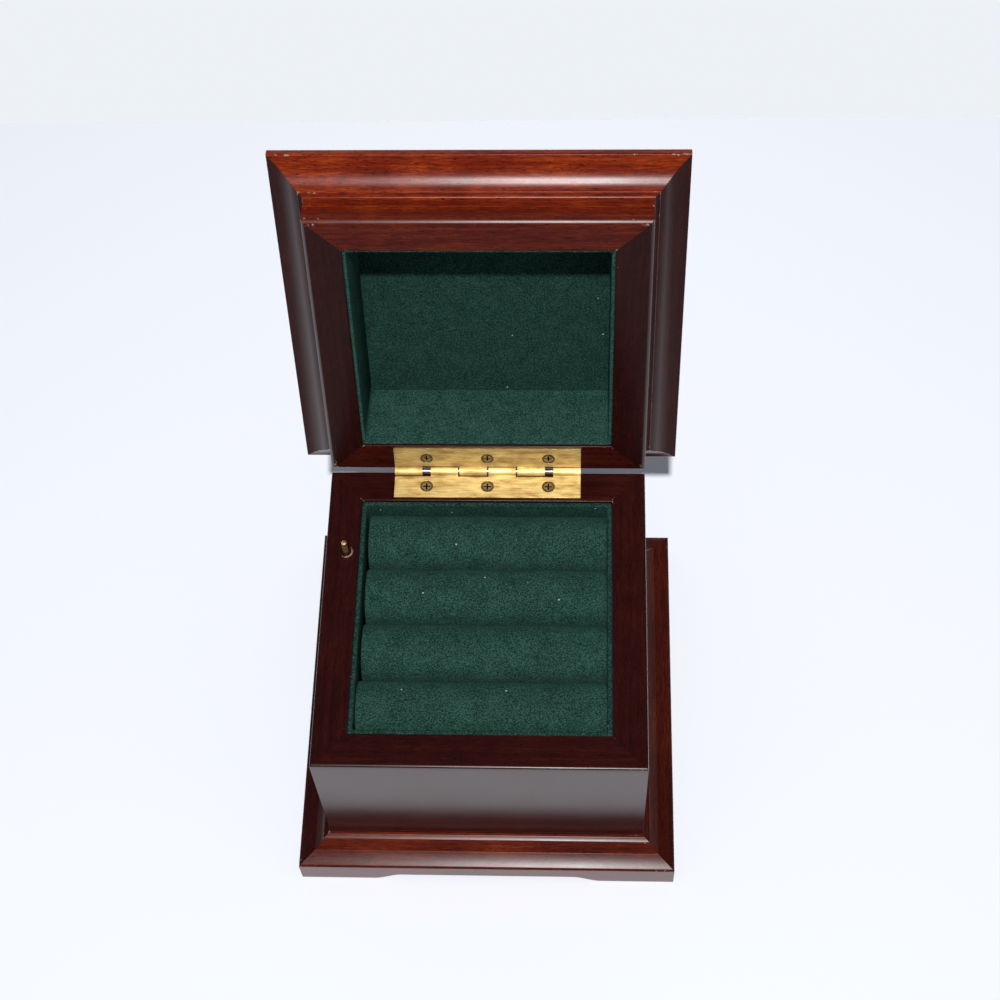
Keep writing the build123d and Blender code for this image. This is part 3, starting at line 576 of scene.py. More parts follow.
def store(obj: Object, name: str, values: np.ndarray) -> None:
    """Keep one value or one vector a vertex in a named attribute.

    Args:
        obj: The object.
        name: The attribute's name.
        values: One number or one row of three a vertex.
    """
    kind, key = ("FLOAT", "value") if values.ndim == 1 else ("FLOAT_VECTOR", "vector")
    attribute = obj.data.attributes.new(name, kind, "POINT")
    attribute.data.foreach_set(key, values.reshape(-1).astype(np.float32))


def dress(obj: Object, material: Material) -> None:
    """Give an object one material in place of what it has."""
    obj.data.materials.clear()
    obj.data.materials.append(material)


def seat(obj: Object, material: Material, body: str, node: str = "") -> Object:
    """Dress a finished piece and tell the frame where it belongs.

    Args:
        obj: The piece.
        material: What it is made of.
        body: The body that it rides on.
        node: The CAD node that it stands for, if any.

    Returns:
        The piece.
    """
    dress(obj, material)
    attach(obj, body)
    if node:
        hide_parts(node)
    return obj


class LidPlace:
    """Carries points of the closed lid to where the open lid stands."""

    def __init__(self) -> None:
        """Read the hinge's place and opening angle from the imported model's joints."""
        hinge = next(joint for joint in frame["joints"] if joint["name"] == "lid_hinge")
        self.pivot = np.array(hinge["pos_m"])
        self.angle = math.radians(max(hinge["range_deg"]))

    def open(self, points: np.ndarray) -> np.ndarray:
        """Turn points back about the hinge pin by the opening angle.

        Args:
            points: Points of the closed lid, with x, y, z along the last axis.

        Returns:
            The same points on the open lid.
        """
        cosine, sine = math.cos(self.angle), math.sin(self.angle)
        offset = points - self.pivot
        y = offset[..., 1] * cosine + offset[..., 2] * sine
        z = -offset[..., 1] * sine + offset[..., 2] * cosine
        return np.stack([offset[..., 0], y, z], axis=-1) + self.pivot


@dataclass
class MitredRail:
    """One side of a mitred frame: a moulding profile carried along the side, cut at 45 degrees."""

    name: str
    side: Side
    outline: np.ndarray
    body: str
    node: str
    corner_round: float = 0.4 * MM
    longest_edge: float = 2.5 * MM
    mitre_gap: float = 0.03 * MM
    stations: int = 24
    end_clear: float = 1.0 * MM
    grain_shift: float = 0.0
    tone: float = 0.0
    knock_reach: float = 2.5 * MM
    knock_least: float = 0.3
    # Painted shade at a lid rail's mating face: the depth it fades over, and the tone's share left there
    face_depth: float = 11.0 * MM
    face_painted_shade: float = 0.42
    lid: LidPlace | None = None
    lowered: tuple | None = None

    def build(self, material: Material) -> Object:
        """Carry the softened outline along the side and close both mitres.

        A point of the outline at distance d from the frame's centre runs from -d to d along
        the side, so the end stations lie on the 45 degree planes; the stations between them
        are square to the side. Corners are the more exposed to knocks the nearer they lie to a
        mitre, by an exponential of the distance. A lid rail's mating face is painted with shade:
        its tone is lowest there and rises in proportion over the face depth. The rail's tone is
        mostly painted light, high where the rail faces the lamp.

        Args:
            material: The wood that the rail is made of.

        Returns:
            The rail.
        """
        outline, marks = soften(self.outline, self.corner_round)
        outline, marks = subdivide_outline(outline, marks, self.longest_edge)
        inner = outline[:, 0].min() - self.end_clear
        places = np.linspace(-inner, inner, self.stations)
        ends = outline[:, 0] - self.mitre_gap
        along = np.vstack([-ends, np.repeat(places[:, None], len(outline), axis=1), ends])
        distance, height = (np.repeat(outline[None, :, i], len(along), axis=0) for i in (0, 1))
        if self.lowered:
            along, distance, height = self.lower_seat(along, distance, height)
        across = distance[..., None] * self.side.outward + along[..., None] * self.side.along
        grid = across + height[..., None] * np.array([0.0, 0.0, 1.0])
        rail = mesh_from_grid(self.name, self.lid.open(grid) if self.lid else grid)
        fibre = np.stack([along + self.grain_shift, distance, height + self.grain_shift], axis=-1) / MM
        store(rail, "fibre", fibre.reshape(-1, 3))
        to_mitre = np.abs(distance) - np.abs(along)
        knocks = self.knock_least + (1 - self.knock_least) * np.exp(-to_mitre / self.knock_reach)
        store(rail, "arris", (marks[None, :] * knocks).reshape(-1))
        # Painted shade, lowest at a lid rail's mating face, times the rail's mostly painted-light tone
        from_face = np.clip((height - height.min()) / self.face_depth, 0, 1) if self.lid else 1.0
        tone = self.tone * (self.face_painted_shade + (1 - self.face_painted_shade) * from_face)
        store(rail, "tone", (tone * np.ones(along.shape)).reshape(-1))
        settle(rail)
        return seat(rail, material, self.body, self.node)

    def lower_seat(
        self, along: np.ndarray, distance: np.ndarray, height: np.ndarray
    ) -> tuple[np.ndarray, np.ndarray, np.ndarray]:
        """Sink the seat of the hinge leaf into the rail's mating face.

        Args:
            along: Place of each point along the side.
            distance: Distance of each point from the frame's centre.
            height: Height of each point.

        Returns:
            The three arrays with two more stations at each end of the seat.
        """
        half_length, inner_edge, face, depth = self.lowered
        last = len(along) - 1
        extra = np.array([-half_length, -half_length, half_length, half_length])
        sunk = np.concatenate([np.abs(along[:, 0]) < half_length, [False, True, True, False]])
        sunk[0] = sunk[last] = False
        places = np.concatenate([along[:, along.shape[1] // 2], extra])
        places[0], places[last] = -1.0, 1.0
        order = np.lexsort((np.where(places > 0, ~sunk, sunk), places))
        along = np.vstack([along, np.repeat(extra[:, None], along.shape[1], axis=1)])[order]
        distance, height = (np.repeat(rows[:1], len(along), axis=0) for rows in (distance, height))
        near_face = (np.abs(height - face) < abs(depth)) & (distance > inner_edge)
        height = np.where(near_face & sunk[order][:, None], face + depth, height)
        return along, distance, height


@dataclass
class PlinthRail(MitredRail):
    """A plinth side, whose foot rises in an arch between the bracket feet."""

    arch: tuple = (0.0, 0.0, 0.0)
    arch_blend: float = 0.6

    def build(self, material: Material) -> Object:
        """Carry the outline along the side with its lower edge lifted to the arch.

        The lift is a smooth step from 0 to the arch's height over its ramp at each end. It is
        full at the foot and fades in proportion up to the blend's share of the plinth's height.

        Args:
            material: The wood that the rail is made of.

        Returns:
            The rail.
        """
        rail = super().build(material)
        mesh = rail.data
        points = points_of(mesh)
        half, height, ramp = self.arch
        t = np.clip((half - np.abs(points @ self.side.along)) / ramp, 0, 1)
        lift = height * t * t * (3 - 2 * t)
        blend = self.arch_blend * self.outline[:, 1].max()
        low_share = np.clip(1 - points[:, 2] / blend, 0, 1)
        points[:, 2] += np.where(points[:, 2] < blend, lift * low_share, 0)
        mesh.vertices.foreach_set("co", points.reshape(-1))
        mesh.update()
        settle(rail)
        return rail


@dataclass
class Woodwork:
    """The mahogany case, plinth and lid, one piece a side."""

    half: float = 50.0 * MM
    wall: float = 10.5 * MM
    case_foot: float = 3.0 * MM
    rebate: float = 4.0 * MM
    board_top: float = 15.0 * MM
    worn_arris_mm: tuple = ((0.0, 0.9), (0.12, 0.31), (0.55, 0.155), (1.0, 0.0))
    plinth_out: float = 10.2 * MM
    plinth_face: float = 10.8 * MM
    plinth_height: float = 16.0 * MM
    plinth_stations: int = 96
    waist_in: float = 5.1 * MM
    waist_height: float = 12.67 * MM
    bead: float = 2.3 * MM
    bead_height: float = 0.8 * MM
    bead_side: float = 0.54 * MM
    fillet: float = 0.65 * MM
    arch: tuple = (36.75 * MM, 3.8 * MM, 9.0 * MM)
    lid_wall: float = 10.8 * MM
    lid_height: float = 28.4 * MM
    panel_rebate: float = 4.0 * MM
    panel_thickness: float = 2.4 * MM
    leaf_reach: float = 9.45 * MM
    leaf_thickness: float = 1.0 * MM
    seat_slack: float = 0.3 * MM
    hinge_length: float = 59.2 * MM
    hinge_y: float = 50.3 * MM
    grain_apart: float = 137 * MM
    # Each board's tone, right, back, left and front, is mostly painted light from the lamp
    case_tones: tuple = (0.05, 0.06, 0.03, 0.05)
    plinth_tones: tuple = (0.16, 0.16, 0.04, 0.38)
    lid_tones_painted_light: tuple = (0.05, 0.26, 0.05, 0.82)
    place: LidPlace = field(default_factory=LidPlace)

    def case_outline(self) -> np.ndarray:
        """Section of a case board: a worn outer arris above and a rebate for the bottom board.

        Returns:
            The section's points, as distance and height.
        """
        inner, foot = self.half - self.wall, self.case_foot
        step, board = inner + self.rebate, self.board_top
        lower = [(inner, RIM), (inner, board), (step, board), (step, foot), (self.half, foot)]
        worn = [(self.half - inwards * MM, RIM - down * MM) for inwards, down in self.worn_arris_mm]
        return np.array(lower + worn)

    def plinth_outline(self) -> np.ndarray:
        """Section of the plinth: a flat face, a quirk, an ogee and a bead against the case.

        A little fillet of lacquer fills the corner where the bead meets the case.

        Returns:
            The section's points, as distance and height.
        """
        edge = self.half + self.plinth_out
        quirk = (edge - 0.4 * MM, self.plinth_face + 0.4 * MM)
        waist = (edge - self.waist_in, self.waist_height)
        bead = (self.half + self.bead, self.plinth_height - self.bead_height)
        swell = arc_between(quirk, waist, -0.06 * MM)
        hollow = arc_between(waist, bead, 0.13 * MM)
        lower = [(self.half, 0.0), (edge, 0.0), (edge, self.plinth_face)]
        crease = np.array([0.9 * np.array(waist) + 0.1 * arc for arc in (swell[-2], hollow[1])])
        foot, head = self.half + self.fillet, self.plinth_height + self.fillet
        bead_side = (self.half + self.bead, self.plinth_height - self.bead_side)
        bead_top = arc_between(bead_side, (foot, self.plinth_height), -0.025 * MM, 6)
        around = [swell[:-1], crease[:1], swell[-1:], crease[1:], hollow[1:]]
        return np.vstack([lower, *around, bead_top, [(self.half, head)]])

    def lid_outline(self) -> np.ndarray:
        """Section of a lid rail: frame below, cove, nose and sweep to the lip, ogee crown above.

        Returns:
            The section's points, as distance and height.
        """
        half, mm = self.half, MM
        lip = half + 10.5 * mm
        arris = arc_between((half - 1.1 * mm, 0), (half, 1.1 * mm), -0.06 * mm, 5)
        cove = arc_between((half, 9.4 * mm), (half + 1.3 * mm, 10.7 * mm), 0.38 * mm, 6)
        nose_end = (half + 4.3 * mm, 13.1 * mm)
        nose = arc_between((half + 1.7 * mm, 11.0 * mm), nose_end, -0.10 * mm, 8)
        sweep = arc_between(nose_end, (lip, 16.8 * mm), 0.41 * mm, 13)
        edge = arc_between((lip, 18.8 * mm), (lip - 1.0 * mm, 19.8 * mm), -0.29 * mm, 5)
        hollow = arc_between((lip - 1.0 * mm, 19.8 * mm), (lip - 4.2 * mm, 22.6 * mm), 0.5 * mm, 8)
        swell = arc_between((lip - 4.2 * mm, 22.6 * mm), (lip - 7.6 * mm, 27.0 * mm), -0.6 * mm, 8)
        inner, top = half - self.lid_wall, self.lid_height
        seat_edge, seat_height = inner + self.panel_rebate, top - self.panel_thickness
        quirk = [(half, 6.5 * mm), (half - 0.25 * mm, 6.75 * mm), (half, 7.0 * mm)]
        crown = [(lip - 7.6 * mm, top), (seat_edge, top), (seat_edge, seat_height), (inner, seat_height)]
        parts = [arris, quirk, cove, [(half + 1.7 * mm, 10.7 * mm)], nose, sweep[1:], edge, hollow[1:]]
        outline = np.vstack([*parts, swell[1:], crown, [(inner, 0.0)]])
        outline[:, 1] += RIM + LID_GAP
        return outline

    def build(self, wood: Material) -> list[Object]:
        """Make the twelve rails, each in place of its own node.

        Args:
            wood: The mahogany.

        Returns:
            The rails, case, plinth and lid, side by side.
        """
        pieces = []
        seat_half = self.hinge_length / 2 + self.seat_slack
        seat_edge = self.hinge_y - self.leaf_reach - self.seat_slack
        leaf = self.leaf_thickness
        for side in Side:
            tag, number = side.name.lower(), side.value
            shift = (number + 1) * self.grain_apart
            hinged = side is Side.BACK
            board = MitredRail(f"{tag}_board", side, self.case_outline(), "case", f"case_{tag}")
            board.grain_shift, board.tone = shift, self.case_tones[number]
            board.lowered = (seat_half, seat_edge, RIM, -leaf) if hinged else None
            foot = PlinthRail(f"{tag}_plinth", side, self.plinth_outline(), "case", f"plinth_{tag}")
            foot.grain_shift, foot.tone = shift * 1.7, self.plinth_tones[number]
            foot.stations, foot.arch = self.plinth_stations, self.arch
            rail = MitredRail(f"{tag}_lid_rail", side, self.lid_outline(), "lid", f"lid_rail_{tag}")
            rail.grain_shift, rail.tone, rail.lid = shift * 2.3, self.lid_tones_painted_light[number], self.place
            rail.lowered = (seat_half, seat_edge, RIM + LID_GAP, leaf) if hinged else None
            pieces += [part.build(wood) for part in (board, foot, rail)]
        return pieces


@dataclass
class RingRolls:
    """Four foam rolls in flocked cloth, laid side by side in the tray."""

    count: int = 4
    rows: int = 97
    columns: int = 72
    end_rows: int = 12
    end_round: float = 0.7 * MM
    squareness: float = 2.4
    pile: float = 0.14 * MM
    piles_in: float = 1.2
    wave_mm: tuple = (14, 34)
    rub_reach: float = 0.35 * MM
    press: float = 0.25 * MM

    def build(self, cloth: Material) -> list[Object]:
        """Make each roll to fill its own solid's place.

        A roll's section is a superellipse, flatter than a circle where the rolls press on each
        other and on the tray, and tight at the folds between them. It shrinks towards the ends
        by a quarter ellipse, and low waves along and round it stand for the uneven foam: sines
        along the roll times sines round it, the more turns the lower. Its right end presses on
        the card.

        Args:
            cloth: The flocked cloth.

        Returns:
            The rolls, front to back.
        """
        rng = np.random.default_rng(SEED)
        rolls = []
        for number in range(1, self.count + 1):
            node = f"ring_roll_{number}"
            low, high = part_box(node)
            radius = (high.y - low.y) / 2
            middle_y, middle_z = (high.y + low.y) / 2, high.z - radius
            high.x += self.press
            quarter = self.end_round * (1 - np.cos(np.linspace(0, math.pi / 2, self.end_rows)))
            middle = np.linspace(low.x + self.end_round, high.x - self.end_round, self.rows)[1:-1]
            along = np.concatenate([low.x + quarter, middle, high.x - quarter[::-1]])
            from_end = np.minimum(along - low.x, high.x - along)
            t = np.clip(1 - from_end / self.end_round, 0, 1)
            shrink = self.end_round * (1 - np.sqrt(1 - t**2))
            angles = np.linspace(0, 2 * math.pi, self.columns, endpoint=False)
            waves = np.zeros((len(along), self.columns))
            for turn in range(1, 5):
                phase = rng.uniform(0, 2 * math.pi, 2)
                length = rng.uniform(*self.wave_mm) * MM
                swell = np.sin(2 * math.pi * along / length + phase[0])
                waves += np.outer(swell, np.sin(turn * angles + phase[1])) * self.pile / turn
            reach = (radius - shrink)[:, None] - self.pile * self.piles_in + waves
            across, upward = (
                np.sign(wave) * np.abs(wave) ** (2 / self.squareness)
                for wave in (np.cos(angles), np.sin(angles))
            )
            x = np.repeat(along[:, None], self.columns, axis=1)
            z = np.maximum(middle_z + reach * upward, low.z)
            roll = mesh_from_grid(f"foam_{node}", np.stack([x, middle_y + reach * across, z], axis=-1))
            store(roll, "rub", np.repeat(np.exp(-from_end / self.rub_reach), self.columns))
            smooth(roll, 60)
            rolls.append(seat(roll, cloth, "case", node))
        return rolls


@dataclass
class Linings:
    """Flocked card round the tray and in the lid."""

    card_round: float = 0.6 * MM
    fold: float = 0.5 * MM
    stations: int = 25
    rub_depth: float = 0.5 * MM
    tray_rub: float = 0.6
    lid_rub: float = 0.3
    tray_card: float = 1.5 * MM
    lid_card: float = 1.0 * MM
    set_back: float = 0.6 * MM
    lid_walls_height: float = 24.3 * MM
    padded_thickness: float = 1.1 * MM
    padded_round: float = 0.7
    padded_step: float = 1.5 * MM
    padded_rows: int = 61
    pucker: float = 0.05 * MM
    pucker_spans: tuple = (5.1 * MM, 17 * MM, 7.3 * MM)
    pucker_band: float = 0.2 * MM
    place: LidPlace = field(default_factory=LidPlace)

    def card_strip(self, outer: float, card: float, low: float, high: float) -> np.ndarray:
        """Section of a card wall with rounded edges, as distance and height."""
        box = np.array([(outer - card, low), (outer, low), (outer, high), (outer - card, high)])
        return soften(box, self.card_round, 4)[0]

    def ring(self, name: str, section: np.ndarray, lid: bool) -> Object:
        """Carry a card section once round the square.

        Each side stops short of its corner by the fold, so that a small flat joins it to the
        next, as folded card does. The rub is full at the mouth's edge and fades in proportion.

        Args:
            name: The object's name.
            section: Distance and height of the section's points.
            lid: Whether the ring stands in the open lid.

        Returns:
            The ring.
        """
        distance, height = section.T
        shares = np.linspace(-1, 1, self.stations)
        rows = [
            np.outer(distance, side.outward)
            + np.outer(share * (distance - self.fold), side.along)
            + np.outer(height, [0, 0, 1])
            for side in Side
            for share in shares
        ]
        grid = self.place.open(np.array(rows)) if lid else np.array(rows)
        obj = mesh_from_grid(name, grid, closed_rows=True, capped=False)
        edge = height.min() if lid else height.max()
        worn = self.lid_rub if lid else self.tray_rub
        rub = worn * np.clip(1 - np.abs(height - edge) / self.rub_depth, 0, 1)
        store(obj, "rub", np.tile(rub, len(rows)))
        smooth(obj, 50)
        return obj

    def padded_card(self, low: float, high: float, reach: float) -> Object:
        """Make the square card on the lid panel, whose flocked face looks into the box.

        Its edges are rounded, and the paper puckers the face by up to a tenth of a millimetre:
        a bent sine wave across it and a straight one up it, faded out towards the edges by a
        half sine each way.

        Args:
            low: Height of the flocked face on the closed lid.
            high: Height of the glued back.
            reach: Half the card's width.

        Returns:
            The card, where the open lid carries it.
        """
        corners = np.array([(-reach, low), (reach, low), (reach, high), (-reach, high)])
        section, marks = soften(corners, self.card_round * self.padded_round, 4)
        section = subdivide_outline(section, marks, self.padded_step)[0]
        depth = np.linspace(-reach, reach, self.padded_rows)
        x, z = (np.repeat(section[None, :, i], len(depth), axis=0) for i in (0, 1))
        y = np.repeat(depth[:, None], len(section), axis=1)
        across, bend, upward = self.pucker_spans
        waves = np.sin(x / across + 2.0 * np.sin(y / bend)) + np.sin(y / upward + 1.0)
        fade = np.cos(0.5 * math.pi * x / reach) * np.cos(0.5 * math.pi * y / reach)
        z = z + np.where(z < low + self.pucker_band, self.pucker * waves * fade, 0.0)
        card = mesh_from_grid("lid_padded_card", self.place.open(np.stack([x, y, z], axis=-1)))
        smooth(card, 50)
        return card

    def build(self, card: Material, walls_card: Material) -> list[Object]:
        """Make the tray's card walls, the lid's card walls and its padded card.

        Args:
            card: The flocked card of the tray and of the lid panel.
            walls_card: The flocked card of the lid's walls, painted lighter than the panel's card
            for the light that falls more fully on them.

        Returns:
            The three linings.
        """
        low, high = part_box("tray_lining")
        strip = self.card_strip(high.x, self.tray_card, low.z, high.z)
        tray = self.ring("tray_card_walls", strip, lid=False)
        base = RIM + LID_GAP + self.set_back
        top = base + self.lid_walls_height
        strip = self.card_strip(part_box("lid_lining_walls")[1].x, self.lid_card, base, top)
        walls = self.ring("lid_card_walls", strip, lid=True)
        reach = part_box("lid_lining_panel")[1].x
        panel = self.padded_card(top, top + self.padded_thickness, reach)
        dress(frame["nodes"]["tray_board"], card)
        return [
            seat(tray, card, "case", "tray_lining"),
            seat(walls, walls_card, "lid", "lid_lining_walls"),
            seat(panel, card, "lid", "lid_lining_panel"),
        ]


def eased_copy(node_name: str, name: str, width: float) -> Object:
    """Copy a node's mesh, join its triangles and break its sharp edges with a small bevel.

    The copy gets a UV map, brushing, whose u is y + z and whose v is x, in millimetres, so
    that a brushed finish knows which way it was drawn.

    Args:
        node_name: The CAD node.
        name: The new piece's name.
        width: How wide the broken edge is.

    Returns:
        The new piece, riding on nothing yet.
    """
    shape = bmesh.new()
    shape.from_mesh(frame["nodes"][node_name].data)
    bmesh.ops.remove_doubles(shape, verts=shape.verts, dist=0.001 * MM)
    bmesh.ops.dissolve_limit(shape, angle_limit=math.radians(0.5), verts=shape.verts, edges=shape.edges)
    sharp = [e for e in shape.edges if e.is_manifold and e.calc_face_angle() > math.radians(32)]
    bmesh.ops.bevel(
        shape, geom=sharp, offset=width, segments=2, profile=0.5, affect="EDGES", clamp_overlap=True
    )
    mesh = bpy.data.meshes.new(name)
    shape.to_mesh(mesh)
    shape.free()
    corners = np.empty(len(mesh.loops), int)
    mesh.loops.foreach_get("vertex_index", corners)
    places = points_of(mesh)[corners] / MM
    uv = np.stack([places[:, 1] + places[:, 2], places[:, 0]], axis=-1)
    mesh.uv_layers.new(name="brushing").data.foreach_set("uv", uv.reshape(-1))
    obj = put(name, mesh)
    settle(obj, 28)
    return obj


@dataclass
class PinHole:
    """The edge of the stop pin's hole in the left rim, pale with wear and a painted highlight."""

    radius: float = 2.0 * MM
    width: float = 0.28 * MM
    proud: float = 0.2 * MM
    floor_radius: float = 0.9 * MM
    lift: float = 0.01 * MM
    # Angle of the side towards the lamp, where the wear and the painted highlight are strongest
    wear_and_painted_highlight_towards: float = -0.7
    columns: int = 48

    def build(self, wood: Material) -> Object:
        """Make a low round rib on the rim about the pin, with a lower dark floor inside it.

        The rib's section is half an ellipse, turned round the pin's upright axis. Its pale wear,
        which is partly wear and partly a painted highlight on the side towards the lamp, goes up
        and down with the cosine of the angle from that side.

        Args:
            wood: The mahogany.

        Returns:
            The rib.
        """
        low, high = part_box("stop_pin")
        turn = np.linspace(math.pi, 0, 9)
        radius = np.append(self.floor_radius, self.radius + self.width * np.cos(turn))[:, None]
        height = np.append(self.lift, self.lift + self.proud * np.sin(turn))
        round_axis = np.linspace(0, 2 * math.pi, self.columns, endpoint=False)
        x = (low.x + high.x) / 2 + radius * np.cos(round_axis)
        y = (low.y + high.y) / 2 + radius * np.sin(round_axis)
        z = RIM + np.repeat(height[:, None], self.columns, axis=1)
        obj = mesh_from_grid("pin_hole_edge", np.stack([x, y, z], axis=-1), capped=False)
        store(obj, "fibre", np.random.default_rng(SEED).uniform(0, 1, (x.size, 3)))
        # Pale wear and painted highlight, strongest on the side towards the lamp
        wear_and_painted_highlight = 1.0 + 0.8 * np.cos(round_axis - self.wear_and_painted_highlight_towards)
        store(obj, "arris", ((radius > self.radius - self.width) * wear_and_painted_highlight).reshape(-1))
        store(obj, "tone", np.zeros(x.size))
        smooth(obj, 60)
        return seat(obj, wood, "case")


@dataclass
class Fittings:
    """The metal, plywood, pine and veneered pieces, with broken edges on most of the metal."""

    edge: float = 0.12 * MM
    fine_edge: float = 0.07 * MM
    # Painted shade in the screws' crosses, full this far below the heads, and its share round the heads
    painted_shade_depth: float = 0.5 * MM
    rim_painted_shade: float = 0.75
    screw_spacing: float = 19.35 * MM

    def paint_screw_shade(self, screws: Object, on_lid: bool) -> None:
        """Paint shade in the screws' crosses and round their heads.

        In a cross it deepens with the distance below the heads. Round a head it comes in over
        the outer quarter of its radius, measured from the middle of its own screw's points.

        Args:
            screws: The three screws of one leaf.
            on_lid: Whether they stand in the open lid, whose face looks to the front.
        """
        points = points_of(screws.data)
        angle = LidPlace().angle
        sine, cosine = math.sin(angle), math.cos(angle)
        out = np.array([0.0, -sine, -cosine] if on_lid else [0.0, 0.0, 1.0])
        across = np.array([0.0, cosine, -sine] if on_lid else [0.0, 1.0, 0.0])
        height = points @ out
        painted_shade_level = np.clip((height.max() - height) / self.painted_shade_depth, 0, 1)
        flat = np.stack([points[:, 0], points @ across], axis=1)
        nearest = np.round(flat[:, 0] / self.screw_spacing).astype(int)
        for number in np.unique(nearest):
            mine = nearest == number
            middle = (flat[mine].max(axis=0) + flat[mine].min(axis=0)) / 2
            away = np.hypot(*(flat[mine] - middle).T)
            rim = np.clip(away / away.max() / 0.25 - 3.0, 0, 1)
            painted_shade_level[mine] = np.maximum(painted_shade_level[mine], self.rim_painted_shade * rim)
        store(screws, "painted_shade", painted_shade_level)

    def build(self) -> list[Object]:
        """Dress the fittings, with an eased copy in place of each that is in the first list.

        The others keep their own solids.

        Returns:
            The pieces.
        """
        # Brushed brass gives a pale glare spread across the brushing, and darkened brass a soft
        # brown one; the turned pin stays bright yellow. Stamped brass and ground steel are sharp
        # and clean, plate and wire read as grey glints, and cast zinc as flat dull grey
        hinge_brass = Metal(
            "brushed_lacquered_brass", "#d2bb7e", "#7f6133", 0.42, cloud_mm=2.2, relief=0.6, brushed=0.85
        ).build()
        antique = Metal("darkened_brass", "#dcc490", "#94713c", 0.55, cloud_mm=0.9).build()
        pin_brass = Metal("turned_brass", "#f0dca6", "#a57c3c", 0.42, cloud_mm=0.8).build()
        works_brass = Metal("stamped_brass", "#e3c26e", "#a37c36", 0.3, cloud_mm=5.0).build()
        wire = Metal("drawn_steel_wire", "#c9c6c0", "#7c7771", 0.3).build()
        plated = Metal("nickel_plated_steel", "#dad7d0", "#a09c93", 0.25).build()
        zinc = Metal("zinc_die_casting", "#b7b9bb", "#84878a", 0.5, scratch_mm=0.5).build()
        comb_steel = Metal("ground_spring_steel", "#cfd2d6", "#8c9096", 0.3, brushed=0.6).build()
        ply = PlainWood("sanded_birch_plywood", "#9c7748", "#d6b483").build()
        pine = PlainWood("sawn_pine", "#b98a52", "#e0bd86", grain_axis=2).build()
        panel = PlainWood("stained_mahogany_veneer", "#1d0805", "#451509", grain_width_mm=0.9).build()
        edge, fine = self.edge, self.fine_edge
        eased = {
            "hinge_leaf_lower": ("lower_hinge_leaf", hinge_brass, 1.6 * edge, "case", "hinge_brass"),
            "hinge_leaf_upper": ("upper_hinge_leaf", hinge_brass, 1.6 * edge, "lid", "hinge_brass"),
            "hinge_screws_lower": ("lower_hinge_screws", antique, fine, "case", "antique_brass"),
            "hinge_screws_upper": ("upper_hinge_screws", antique, fine, "lid", "antique_brass"),
            "stop_pin": ("brass_stop_pin", pin_brass, edge, "stop_pin", "pin_brass"),
            "winding_key": ("butterfly_key", plated, 2 * edge, "key", "movement_steel"),
            "bottom_screws": ("board_screws", plated, fine, "case", "screw_steel"),
            "movement_screws": ("bedplate_screws", plated, fine, "case", "screw_steel"),
            "comb": ("tuned_comb", comb_steel, fine, "case", "comb_steel"),
            "movement_bedplate": ("cast_bedplate", zinc, edge, "case", "zinc"),
            "stop_lever": ("bent_stop_lever", works_brass, fine, "stop_lever", "movement_brass"),
        }
        kept = {
            works_brass: ["music_cylinder", "spring_barrel", "governor_wheel", "governor_fly"],
            wire: ["hinge_pin", "winding_arbor", "governor_frame"],
            plated: ["comb_screws"],
            ply: ["bottom_board"],
            pine: ["corner_posts"],
            panel: ["lid_panel"],
        }
        pieces = []
        for node_name, (name, material, width, body, slot) in eased.items():
            piece = eased_copy(node_name, name, width)
            if node_name.startswith("hinge_screws"):
                self.paint_screw_shade(piece, on_lid=body == "lid")
            pieces.append(seat(piece, material, body, node_name))
        for material, names in kept.items():
            for name in names:
                dress(frame["nodes"][name], material)
                pieces.append(frame["nodes"][name])
        return pieces


